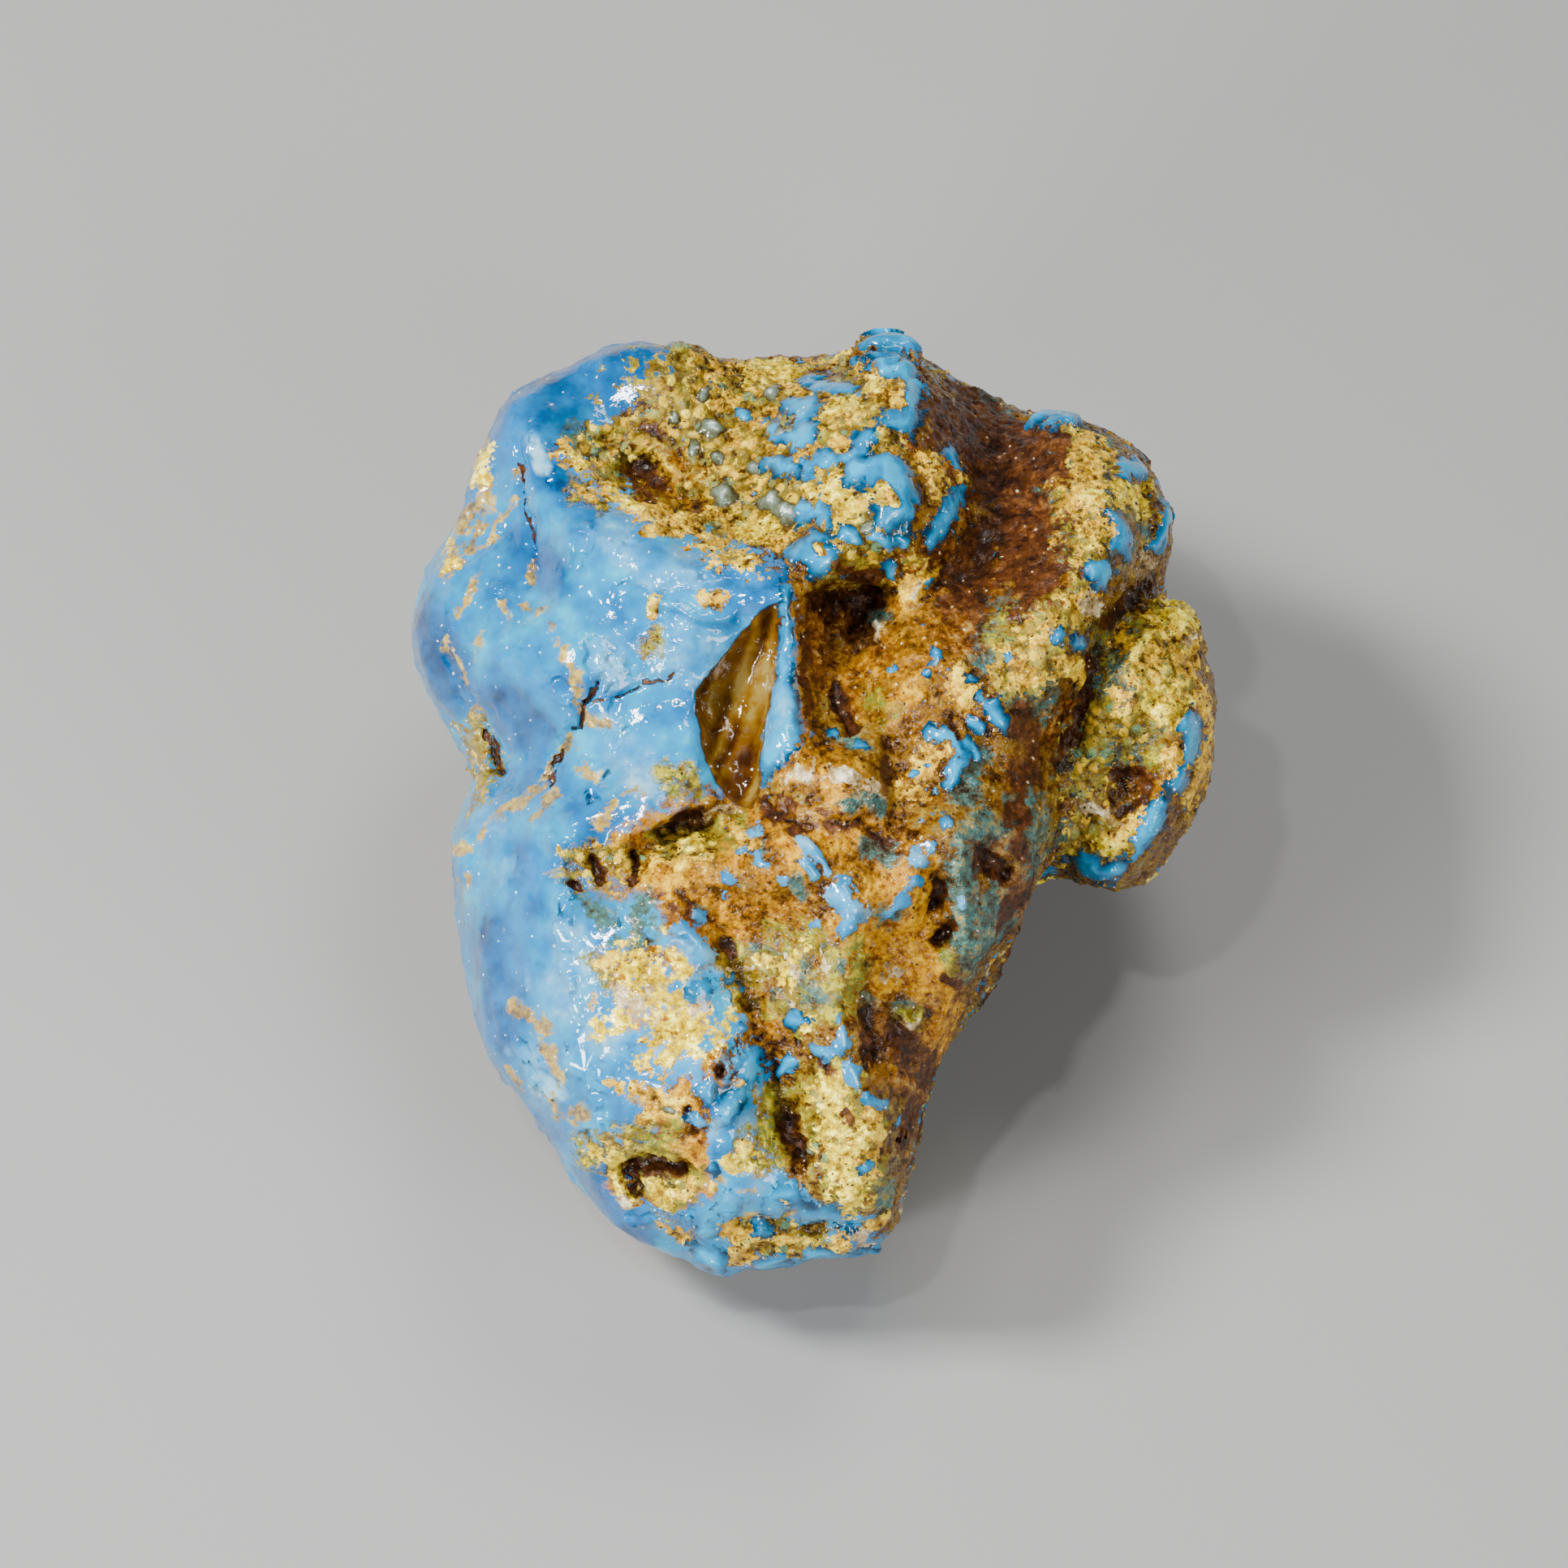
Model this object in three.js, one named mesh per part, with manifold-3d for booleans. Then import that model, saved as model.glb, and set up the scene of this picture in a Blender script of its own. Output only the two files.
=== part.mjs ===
// A rough nodule of amber, about as big as a hen's egg: one grown piece with a worn flat to rest on.
// Millimetres, +Z up. The origin is on the rest plane, under the middle of the nodule's box.
//
// The nodule has a show face that looks forwards (-Y) and up. The face has axes of its own:
// u runs to the right (+X), v runs up the face and w runs straight out of it.
// Outlines and relief are laid out in u and v, and relief moves the surface along w,
// so a ridge stays on its line however the body under it is curved.
import * as THREE from "three";
import { ImprovedNoise } from "three/addons/math/ImprovedNoise.js";
import { mergeVertices } from "three/addons/utils/BufferGeometryUtils.js";
import Module from "manifold-3d";

const FACE_TILT = THREE.MathUtils.degToRad(50); // how far the show face is turned up from the horizon
const REST_CUT = 3; // depth of the worn flat, measured up from the lowest point of the body
const FACE_BLEND = [-0.15, 0.3]; // the face relief fades in where a normal's share along w passes these
const BACK_BLEND = [0.05, 0.45]; // the back's relief fades in where its share along -w passes these

const FACE_U = new THREE.Vector3(1, 0, 0);
const FACE_V = new THREE.Vector3(0, Math.sin(FACE_TILT), Math.cos(FACE_TILT));
const FACE_W = new THREE.Vector3(0, -Math.cos(FACE_TILT), Math.sin(FACE_TILT));

// ---- The two lobes that grew together ---------------------------------------------------------
// centre: [u, v, w] of the lobe. half: its half sizes along X, Y and Z before the outline is fitted.
// outline: what the lobe covers of the show face, anticlockwise from the right, in u and v.
// detail: how many times each icosahedron edge is split.

const BODY = {
  centre: [0, 2, 0],
  half: [25, 30, 17.5],
  detail: 19,
  outline: [
    [16.2, 1], [17.4, 5], [20.4, 10], [21.7, 13.4], [22.2, 15.4], [22.3, 17.5],
    [21.3, 20.2], [19.9, 21.9], [18.4, 23.3], [15.6, 24.1], [13.2, 24.2], [11.2, 25.4], [7.5, 27.2],
    [5.1, 28.9], [2.6, 28.2], [-2.9, 27.6], [-6, 27.8], [-8.7, 28.5], [-12.8, 28.4],
    [-15.4, 27], [-19.5, 24.6], [-21.1, 20.1], [-22.7, 16.3], [-24.4, 14], [-25, 10.4],
    [-24, 7], [-22.6, 4.6], [-21, 2.2], [-21.8, -0.4], [-22.4, -3.2], [-21.8, -6],
    [-21.8, -8.5], [-21, -12], [-20.2, -15], [-18.3, -17.8], [-16.1, -20.7], [-13.8, -24],
    [-11.3, -26.4], [-7.4, -27.4], [-5, -28.2], [-2, -28], [1, -27.4], [3.4, -27.6],
    [5, -26.4], [5.3, -23.5], [6.3, -19.5], [7.6, -15.6], [9.8, -11.4], [12, -7.8],
    [13.4, -4.8], [15, -2.6],
  ],
};

const KNUCKLE = {
  centre: [18.2, 3.8, 0],
  half: [9, 13, 12.5],
  detail: 8,
  outline: [
    [24.7, 4.8], [24.4, 8], [23.3, 10.6], [21.6, 12.4], [18.6, 12.4], [15, 10.6], [12.2, 6.4],
    [11.6, 0.5], [13.2, -4], [16, -4.8], [18.6, -5.5], [20.6, -4.9], [21.9, -3], [23.8, -0.4],
  ],
};

// ---- Relief of the show face ------------------------------------------------------------------
// Each stroke runs along a line of points, out to its reach. A single point makes a knob or a pit.
// A ridge is rounded, a crest is sharp along its line. A rise below 0 makes a groove or a slot.

// Share of the rise at t, the distance from the line over the reach. Both end with no crease.
const rounded = (t) => (t >= 1 ? 0 : (1 - t * t) ** 2);
const sharp = (t) => (t >= 1 ? 0 : (1 - t) ** 1.7);
const ridge = (rise, reach, ...line) => ({ rise, reach, line, profile: rounded });
const crest = (rise, reach, ...line) => ({ rise, reach, line, profile: sharp });

const BODY_RELIEF = [
  // The crest that divides the smooth left flank from the bowl above it, and the bowl's far rim.
  crest(4.4, 7, [-19.2, 23.4], [-16.5, 20.6], [-13.5, 17.4], [-10, 15.2], [-6, 13.9], [-2.2, 13.4]),
  ridge(2.2, 4, [-18, 25.2], [-13, 27.4], [-8.5, 27.6]),
  // The bowl with its deepest part, the flatter ground above it, and the knobbly swelling.
  ridge(-4.6, 6.4, [-12.5, 21.6], [-8.6, 19.8], [-4.5, 17.8]),
  crest(-2.4, 3.2, [-11.6, 20.9], [-9, 19.6], [-5.6, 17.8]),
  ridge(-1.6, 5, [-5, 24.6]),
  ridge(5, 7.4, [2.4, 20.4]),
  ridge(2.6, 4, [6.4, 24.4], [7.2, 20.6], [6.2, 17.2]),
  ridge(1.6, 2.6, [4.4, 18.8]),
  ridge(2.6, 4.6, [4, 24.6]),
  ridge(1.6, 2.8, [5, 27.8]),
  crest(2.6, 2.6, [7, 25], [8.8, 20.8], [8, 16.4]),
  // The broad saddle behind the swelling, and the pit at its foot.
  ridge(-3, 5, [11, 26], [11.8, 21.4], [11.6, 16.4]),
  ridge(-1.8, 4, [9.2, 13.8], [6, 12.8], [3, 12.2]),
  ridge(-4.4, 3.4, [1.2, 11.4], [3, 11.6]),
  // The shoulder beyond the saddle: a broad lump with its own knobs, and a groove along its outer side.
  ridge(4, 6, [16.8, 20.4], [17.6, 16.4], [15.6, 11.4]),
  ridge(1.6, 2.6, [18.6, 16.6], [17.6, 13.2]),
  ridge(1.4, 2.4, [21.4, 17]),
  ridge(1.4, 2.6, [19.6, 20.6]),
  ridge(1.4, 2.4, [15.4, 23]),
  ridge(1.6, 2.2, [15.6, 9.8]),
  crest(-2, 1.8, [20.2, 19.6], [19.9, 15.6], [20.4, 13.4]),
  crest(-2, 2.6, [22, 13.8], [19.4, 12.6], [17.4, 10]),
  ridge(3, 4.6, [14.2, 7], [13.6, 2], [12.4, -3]),
  ridge(2.4, 2.6, [1, 15], [5, 14.6]),
  // The chip: a leaf-shaped scoop with a thin crest on its right, and the drop beyond the crest.
  ridge(-3.6, 4, [-3.6, 9.2], [-5.2, 5.8], [-5, 2]),
  crest(3.4, 2.4, [-2, 12.8], [-1.6, 8.5], [-1.2, 5.4], [-2.6, 1.8]),
  ridge(-3.8, 4, [1.4, 9.5], [1.6, 5.8]),
  // Knobs and the broken hump in the middle.
  ridge(1.8, 3.4, [6, 7.6]),
  ridge(2.2, 2.3, [9.2, 8.2], [11, 4.6]),
  ridge(2, 2.3, [7.4, 4], [8.9, 1.6]),
  ridge(2.2, 4, [1.6, 1.4]),
  ridge(-1.6, 2, [4.6, 4]),
  // The waist of the left flank, its folds, and the gap under the flank's left edge.
  ridge(-2.4, 5, [-21, 2.4], [-15.5, 3], [-11, 5]),
  crest(-2.2, 3, [-18.8, 22], [-18, 17], [-16.8, 12.8]),
  crest(-2.6, 2.4, [-22.6, 9], [-21, 6], [-19.2, 3.4]),
  ridge(2.4, 6, [-15.4, 9.6]),
  // The fold across the middle: a lip above, a slot, and a shelf below.
  crest(2, 3.4, [-14.8, -1.6], [-10.4, 0.4], [-6.4, 1.4]),
  ridge(-3.2, 2.8, [-13.8, -4.2], [-10, -2.8], [-7.2, -1.4], [-4.6, -1]),
  ridge(1.4, 3, [-11, -6.4], [-6, -4.4], [-1.4, -3]),
  // The lower left bulge with its long crest.
  ridge(2, 11, [-14, -10]),
  crest(2, 6, [-15, -3.4], [-15, -8], [-13.4, -14], [-12, -20]),
  // The three stepped ridges of the right flank, with the hollows between them.
  ridge(2.2, 5, [10.4, -3], [8.6, -9.6]),
  ridge(2.6, 2.6, [-1.4, -2.8], [0.6, -3.9], [2.6, -6], [2.4, -8]),
  ridge(-2.4, 4, [5.2, -8.6]),
  ridge(2, 2.2, [8, -1.2], [6.4, -3.4], [5.6, -5.4]),
  ridge(-2, 2, [7.3, -5.4], [7.7, -8]),
  ridge(1.8, 2, [9.2, -1.4], [8.9, -5], [9.5, -8.4]),
  ridge(-2, 2.4, [10.8, -3.6]),
  // The long groove of the lower front, the crest right of it and the scooped flank beyond.
  crest(-3, 3.4, [-5.6, -6], [-4, -9], [-3, -12.4], [-2.2, -16.4]),
  ridge(-3.2, 2.6, [-1.6, -18], [-0.9, -21]),
  ridge(2, 3.4, [0.2, -11.4], [1.6, -14.6], [2.4, -18], [2.6, -21.5], [2.2, -25]),
  ridge(-1.8, 3.2, [4.8, -12], [5.4, -15]),
  ridge(1.4, 3.6, [-6.4, -17], [-5.4, -23]),
  // The slotted pit near the foot, and the broken ledge along the bottom edge.
  ridge(-3, 2, [-11, -21.8], [-8.4, -21.8]),
  ridge(-1.6, 1.8, [-10.6, -23.4]),
  crest(-2.4, 2, [-3.8, -25.8], [0, -25.9], [3.4, -25.8]),
];

const KNUCKLE_RELIEF = [
  crest(2.2, 2.8, [22.8, 6], [22.2, 2], [20.2, -2.4], [17.2, -3.8]),
  crest(-2.2, 2, [18.4, 11.4], [16.8, 8], [15.2, 4], [14.2, 0]),
  ridge(-2.4, 4.4, [18.6, 1.6]),
  ridge(1.2, 3, [18.4, 7]),
  ridge(1.2, 2, [22, 10.6]),
];

// ---- Relief of the sides, the back and the underside ------------------------------------------
// Scoops and swellings at points of the body's own surface, given as a direction from its middle.
const swelling = (rise, reach, x, y, z) => ({ rise, reach, towards: new THREE.Vector3(x, y, z).normalize() });

const BACK_RELIEF = [
  swelling(-3.4, 0.42, -0.55, 0.8, 0.25),
  swelling(3, 0.45, 0.1, 1, -0.1),
  swelling(-3, 0.36, 0.62, 0.75, 0.1),
  swelling(2.6, 0.4, -0.9, 0.35, -0.15),
  swelling(-2.6, 0.34, -0.95, -0.1, -0.45),
  swelling(2.4, 0.36, 0.45, 0.7, 0.6),
  swelling(-2.4, 0.32, -0.1, 0.85, 0.6),
  swelling(2.2, 0.38, 0.4, -0.75, -0.6),
];
const BACK_LUMPS = { rise: 2.2, size: 11 }; // soft lumps over everything that the show face doesn't cover
const FACE_LUMPS = { rise: 0.7, size: 6 }; // and smaller ones on the show face
const RIPPLES = { rise: 0.45, size: 3.2 };
const WANDER = { rise: 0.8, size: 4 }; // sideways wander of the strokes on the show face
const SOFTENING = { passes: 1, share: 0.5 }; // how far each vertex moves to the middle of its neighbours

// ---- Shape functions --------------------------------------------------------------------------

const noise = new ImprovedNoise();

// Soft noise between about -1 and 1 at a point, with lumps of the given size.
const lumps = (p, size, shift) => noise.noise(p.x / size + shift, p.y / size - shift, p.z / size + 2 * shift);

// Distance in u and v from a point to a line of points.
function distanceTo(line, u, v) {
  if (line.length === 1) return Math.hypot(u - line[0][0], v - line[0][1]);
  let nearest = Infinity;
  for (let i = 1; i < line.length; i++) {
    const [au, av] = line[i - 1];
    const [du, dv] = [line[i][0] - au, line[i][1] - av];
    const along = THREE.MathUtils.clamp(((u - au) * du + (v - av) * dv) / (du * du + dv * dv), 0, 1);
    nearest = Math.min(nearest, Math.hypot(u - au - along * du, v - av - along * dv));
  }
  return nearest;
}

// The summed relief at a point of the face. The strokes wander a little, as grown edges do.
function reliefAt(strokes, u, v) {
  const wander = (shift) => WANDER.rise * noise.noise(u / WANDER.size, v / WANDER.size, shift);
  const [wu, wv] = [u + wander(0.5), v + wander(5.5)];
  return strokes.reduce((sum, s) => sum + s.rise * s.profile(distanceTo(s.line, wu, wv) / s.reach), 0);
}

// The outline's distance from the lobe's centre, as a function of the angle round that centre.
function outlineReach({ outline, centre }) {
  const STEPS = 720;
  const points = outline.map(([u, v]) => new THREE.Vector3(u - centre[0], v - centre[1], 0));
  const curve = new THREE.CatmullRomCurve3(points, true, "centripetal");
  const samples = curve.getPoints(4 * STEPS).map((p) => [Math.atan2(p.y, p.x), Math.hypot(p.x, p.y)]);
  samples.sort((a, b) => a[0] - b[0]);
  return (angle) => {
    let [low, high] = [0, samples.length - 1];
    while (high - low > 1) {
      const middle = (low + high) >> 1;
      if (samples[middle][0] < angle) low = middle;
      else high = middle;
    }
    return samples[high][1];
  };
}

// One lobe as a closed mesh: an ellipsoid, fitted to its outline and then given its relief.
function lobe(shape, strokes, swellings) {
  const [halfX, halfY, halfZ] = shape.half;
  const reach = outlineReach(shape);
  const spanV = Math.hypot(halfY * Math.sin(FACE_TILT), halfZ * Math.cos(FACE_TILT));
  const sphere = new THREE.IcosahedronGeometry(1, shape.detail);
  sphere.deleteAttribute("normal");
  sphere.deleteAttribute("uv");
  const geometry = mergeVertices(sphere, 1e-5);
  const position = geometry.attributes.position;
  const direction = new THREE.Vector3();
  for (let i = 0; i < position.count; i++) {
    direction.fromBufferAttribute(position, i).normalize();
    const point = new THREE.Vector3(direction.x * halfX, direction.y * halfY, direction.z * halfZ);
    const normal = new THREE.Vector3(direction.x / halfX, direction.y / halfY, direction.z / halfZ);
    normal.normalize();
    const angle = Math.atan2(point.dot(FACE_V), point.dot(FACE_U));
    const ellipse = 1 / Math.hypot(Math.cos(angle) / halfX, Math.sin(angle) / spanV);
    const fit = reach(angle) / ellipse;
    const u = shape.centre[0] + fit * point.dot(FACE_U);
    const v = shape.centre[1] + fit * point.dot(FACE_V);
    const facing = THREE.MathUtils.smoothstep(normal.dot(FACE_W), ...FACE_BLEND);
    let w = shape.centre[2] + point.dot(FACE_W) + facing * reliefAt(strokes, u, v);
    let swell = facing * FACE_LUMPS.rise * lumps(point, FACE_LUMPS.size, 3.1);
    swell += RIPPLES.rise * lumps(point, RIPPLES.size, 1.3);
    const behind = THREE.MathUtils.smoothstep(-normal.dot(FACE_W), ...BACK_BLEND);
    swell += behind * BACK_LUMPS.rise * lumps(point, BACK_LUMPS.size, 7.7);
    for (const s of swellings) {
      swell += behind * s.rise * rounded(direction.distanceTo(s.towards) / (2 * s.reach));
    }
    point.set(0, 0, 0).addScaledVector(FACE_U, u).addScaledVector(FACE_V, v).addScaledVector(FACE_W, w);
    point.addScaledVector(normal, swell);
    position.setXYZ(i, point.x, point.y, point.z);
  }
  return geometry;
}

// ---- Joining the lobes and cutting the rest flat ----------------------------------------------

const wasm = await Module();
wasm.setup();

const solidOf = (geometry) =>
  new wasm.Manifold(
    new wasm.Mesh({
      numProp: 3,
      vertProperties: new Float32Array(geometry.attributes.position.array),
      triVerts: new Uint32Array(geometry.index.array),
    }),
  );

function geometryOf(solid) {
  const { vertProperties, triVerts } = solid.getMesh();
  const geometry = new THREE.BufferGeometry();
  geometry.setAttribute("position", new THREE.BufferAttribute(new Float32Array(vertProperties), 3));
  geometry.setIndex(new THREE.BufferAttribute(new Uint32Array(triVerts), 1));
  return geometry;
}

// Softens a mesh's sharpest folds, as weathering does.
function soften(geometry, { passes, share }) {
  const position = geometry.attributes.position;
  const corners = geometry.index.array;
  const neighbours = Array.from({ length: position.count }, () => new Set());
  for (let i = 0; i < corners.length; i += 3) {
    const [a, b, c] = corners.slice(i, i + 3);
    neighbours[a].add(b).add(c);
    neighbours[b].add(c).add(a);
    neighbours[c].add(a).add(b);
  }
  const vertex = new THREE.Vector3();
  for (let pass = 0; pass < passes; pass++) {
    const middles = neighbours.map((around) => {
      const middle = new THREE.Vector3();
      for (const i of around) middle.add(vertex.fromBufferAttribute(position, i));
      return middle.divideScalar(around.size);
    });
    middles.forEach((middle, i) => {
      vertex.fromBufferAttribute(position, i).lerp(middle, share);
      position.setXYZ(i, vertex.x, vertex.y, vertex.z);
    });
  }
  return geometry;
}

// A block that fills everything below the given height.
function blockBelow(height) {
  const size = 200;
  const block = new THREE.BoxGeometry(size, size, size);
  block.translate(0, 0, height - size / 2);
  block.deleteAttribute("normal");
  block.deleteAttribute("uv");
  return mergeVertices(block, 1e-5);
}

function noduleGeometry() {
  const lobes = solidOf(lobe(BODY, BODY_RELIEF, BACK_RELIEF)).add(solidOf(lobe(KNUCKLE, KNUCKLE_RELIEF, [])));
  const grown = solidOf(soften(geometryOf(lobes), SOFTENING));
  const lowest = grown.boundingBox().min[2];
  const worn = grown.subtract(solidOf(blockBelow(lowest + REST_CUT)));
  const geometry = geometryOf(worn);
  geometry.computeBoundingBox();
  const { min, max } = geometry.boundingBox;
  geometry.translate(-(min.x + max.x) / 2, -(min.y + max.y) / 2, -min.z);
  geometry.computeVertexNormals();
  return geometry;
}

const amberSkin = new THREE.MeshStandardMaterial({ color: 0x3fa0dc, roughness: 0.3, metalness: 0 });

const nodule = new THREE.Mesh(noduleGeometry(), amberSkin);
nodule.name = "amber_nodule";

const model = new THREE.Group();
model.add(nodule);
export default model;
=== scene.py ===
# A rough nodule of amber with a wet blue skin, lying on a pale table. Metres, in the frame's axes.
import math

import bmesh
import bpy
import numpy as np
from mathutils import Matrix, Vector, noise


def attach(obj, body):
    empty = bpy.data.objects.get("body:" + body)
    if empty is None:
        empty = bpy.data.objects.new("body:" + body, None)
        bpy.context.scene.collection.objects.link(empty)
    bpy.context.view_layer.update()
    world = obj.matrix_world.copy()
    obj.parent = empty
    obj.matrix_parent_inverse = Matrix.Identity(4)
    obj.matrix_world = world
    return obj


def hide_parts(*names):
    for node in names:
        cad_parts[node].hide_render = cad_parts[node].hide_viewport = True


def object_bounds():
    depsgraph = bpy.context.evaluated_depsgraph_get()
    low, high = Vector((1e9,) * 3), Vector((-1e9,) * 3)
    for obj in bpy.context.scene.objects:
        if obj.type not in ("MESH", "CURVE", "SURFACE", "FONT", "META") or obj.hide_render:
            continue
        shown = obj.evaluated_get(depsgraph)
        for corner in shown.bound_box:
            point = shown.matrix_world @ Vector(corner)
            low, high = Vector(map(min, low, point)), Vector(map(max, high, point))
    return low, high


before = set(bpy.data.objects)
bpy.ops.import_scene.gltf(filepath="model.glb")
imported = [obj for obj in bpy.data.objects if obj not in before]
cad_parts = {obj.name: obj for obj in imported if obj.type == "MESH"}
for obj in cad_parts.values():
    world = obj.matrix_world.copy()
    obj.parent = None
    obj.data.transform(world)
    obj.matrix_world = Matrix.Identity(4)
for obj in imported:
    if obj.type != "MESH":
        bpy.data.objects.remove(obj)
cad_bounds = [list(corner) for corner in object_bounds()]

MM = 0.001

# ---- The show face, and the camera that looks straight at it ------------------------------------
# The nodule's show face is turned 50 degrees up from the horizon. On it, u runs to the right, v runs
# up the face and w stands out of it, all in millimetres from the middle of the nodule's outline.

FACE_TILT = math.radians(50)
FACE_U = Vector((1, 0, 0))
FACE_V = Vector((0, math.sin(FACE_TILT), math.cos(FACE_TILT)))
FACE_W = Vector((0, -math.cos(FACE_TILT), math.sin(FACE_TILT)))

cad_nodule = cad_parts["amber_nodule"]
cad_points = [vertex.co for vertex in cad_nodule.data.vertices]


def middle_along(axis):
    reaches = [point.dot(axis) for point in cad_points]
    return (min(reaches) + max(reaches)) / 2


face_middle = FACE_U * middle_along(FACE_U) + FACE_V * middle_along(FACE_V) + FACE_W * middle_along(FACE_W)

VIEW_DISTANCE = 0.6
VIEW_WIDTH = 96.6 * MM  # across the frame, at the middle of the face
VIEW_CENTRE = (-1.7, 0.9)  # u and v
SENSOR = 36

camera = bpy.data.objects.new("camera", bpy.data.cameras.new("camera"))
bpy.context.scene.collection.objects.link(camera)
camera.data.sensor_width = SENSOR
camera.data.lens = SENSOR * VIEW_DISTANCE / VIEW_WIDTH
aim = face_middle + (FACE_U * VIEW_CENTRE[0] + FACE_V * VIEW_CENTRE[1]) * MM
camera.matrix_world = Matrix.Translation(aim + FACE_W * VIEW_DISTANCE) @ Matrix(
    (FACE_U, FACE_V, FACE_W)
).transposed().to_4x4()
bpy.context.scene.camera = camera

# ---- The nodule ---------------------------------------------------------------------------------
# One piece of rough amber, grown in lobes. Its left side is a smooth wet blue skin. Elsewhere an
# ochre crust, brown stained hollows and blue knobs break through each other.

GRID = 0.46 * MM  # between the points of the surface; the show face gets twice as many each way

mesh = cad_nodule.data.copy()
body = bmesh.new()
body.from_mesh(mesh)
bmesh.ops.remove_doubles(body, verts=body.verts, dist=0.001 * MM)
body.to_mesh(mesh)
body.free()
mesh.materials.clear()
nodule = bpy.data.objects.new("nodule", mesh)
bpy.context.scene.collection.objects.link(nodule)

remesh = nodule.modifiers.new("even grid", "REMESH")
remesh.mode = "VOXEL"
remesh.voxel_size = GRID
smoothing = nodule.modifiers.new("rounded facets", "SMOOTH")
smoothing.factor = 0.5
smoothing.iterations = 3
mesh = bpy.data.meshes.new_from_object(nodule.evaluated_get(bpy.context.evaluated_depsgraph_get()))
nodule.modifiers.clear()
nodule.data = mesh

body = bmesh.new()
body.from_mesh(mesh)
face_edges = [edge for edge in body.edges if all(vert.normal.dot(FACE_W) > -0.05 for vert in edge.verts)]
bmesh.ops.subdivide_edges(body, edges=face_edges, cuts=1, use_grid_fill=True)
all_ways = {"use_axis_x": True, "use_axis_y": True, "use_axis_z": True}
for _ in range(3):
    bmesh.ops.smooth_vert(body, verts=body.verts, factor=0.5, **all_ways)
body.to_mesh(mesh)
body.free()


def read_points():
    flat = np.empty(len(mesh.vertices) * 3)
    mesh.vertices.foreach_get("co", flat)
    return flat.reshape(-1, 3)


def read_normals():
    flat = np.empty(len(mesh.vertices) * 3)
    mesh.vertices.foreach_get("normal", flat)
    return flat.reshape(-1, 3)


points = read_points()
normals = read_normals()
offsets = (points - np.array(face_middle)) / MM
u = offsets @ np.array(FACE_U)
v = offsets @ np.array(FACE_V)
w = offsets @ np.array(FACE_W)


def smooth_step(values, low, high):
    t = np.clip((values - low) / (high - low), 0, 1)
    return t * t * (3 - 2 * t)


def clouds(size, seed, octaves=3):
    """Soft noise from -1 to 1 over the nodule, with lumps of the given size in millimetres."""
    shift = Vector((seed, seed * 1.7, seed * 0.6))
    return np.array([noise.fractal(Vector(p) / size + shift, 0.6, 2, octaves) for p in offsets])


# How far each point is on the show face: 1 on it, 0 on the back.
towards_w = normals @ np.array(FACE_W)
facing = smooth_step(towards_w, -0.12, 0.2)

# How deep each point lies below the highest point of the square millimetres round it, seen along w.
MAP_SIDE = 80
column = np.floor(u).astype(int) + MAP_SIDE // 2
row = np.floor(v).astype(int) + MAP_SIDE // 2
face_top = np.full((MAP_SIDE, MAP_SIDE), -1e9)
np.maximum.at(face_top, (column, row), w)
steps = [(sideways, upwards) for sideways in (-1, 0, 1) for upwards in (-1, 0, 1)]
face_top = np.maximum.reduce([np.roll(face_top, step, (0, 1)) for step in steps])
depth = face_top[column, row] - w

# 1 where the colours of the face are laid, on it and down its rim to 9 mm below it, and 0 from 13 mm on.
seen = smooth_step(towards_w, 0.05, 0.3)
over_the_edge = smooth_step(towards_w, -0.5, -0.2) * smooth_step(depth, 13, 9)
painted_side = np.maximum(seen, over_the_edge)

# Lines on the face wander a little, so nothing on it is straight or round, and they swell and shrink.
wander_u = u + 0.35 * clouds(1.7, 3) + 0.4 * clouds(5, 11, 1)
wander_v = v + 0.35 * clouds(1.7, 23) + 0.4 * clouds(5, 31, 1)
swell = 1 + 0.4 * clouds(1.3, 29, 2)

# Lines fade out where they run over the rim and down the far wall, more than 6 mm below the face.
over_the_rim = (1 - seen) * np.maximum(0, depth - 6)


def distance_to(line):
    """Distance in millimetres of every point from a line of (u, v) places on the show face."""
    if len(line) == 1:
        nearest = np.hypot(wander_u - line[0][0], wander_v - line[0][1])
        return swell * nearest + over_the_rim
    nearest = np.full(len(u), 1e9)
    for (u0, v0), (u1, v1) in zip(line, line[1:]):
        du, dv = u1 - u0, v1 - v0
        along = ((wander_u - u0) * du + (wander_v - v0) * dv) / (du * du + dv * dv)
        along = np.clip(along, 0, 1)
        nearest = np.minimum(nearest, np.hypot(wander_u - u0 - along * du, wander_v - v0 - along * dv))
    return swell * nearest + over_the_rim


def painted(daubs, spread=2.0, most=1.0):
    """A field that is 0.5 at each daub's reach, up to most inside it and 0 at spread times the reach."""
    field = np.zeros(len(u))
    for reach, *line in daubs:
        near = distance_to(line) / reach
        inside = 1 - 0.5 * near
        outside = 0.5 * (spread - near) / (spread - 1)
        field = np.maximum(field, np.clip(np.where(near < 1, inside, outside), 0, most))
    return field


def raised(strokes):
    """The sum of rounded ridges: each has a rise, a reach and a line. Millimetres."""
    height = np.zeros(len(u))
    for rise, reach, *line in strokes:
        near = np.clip(distance_to(line) / reach, 0, 1)
        height += rise * (1 - near * near) ** 2
    return height


def domes(strokes):
    """The highest of full round domes: each has a rise, a reach and a line. Millimetres."""
    height = np.zeros(len(u))
    for rise, reach, *line in strokes:
        near = np.clip(distance_to(line) / reach, 0, 1)
        height = np.maximum(height, rise * (1 - near * near) ** 0.8)
    return height


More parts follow.
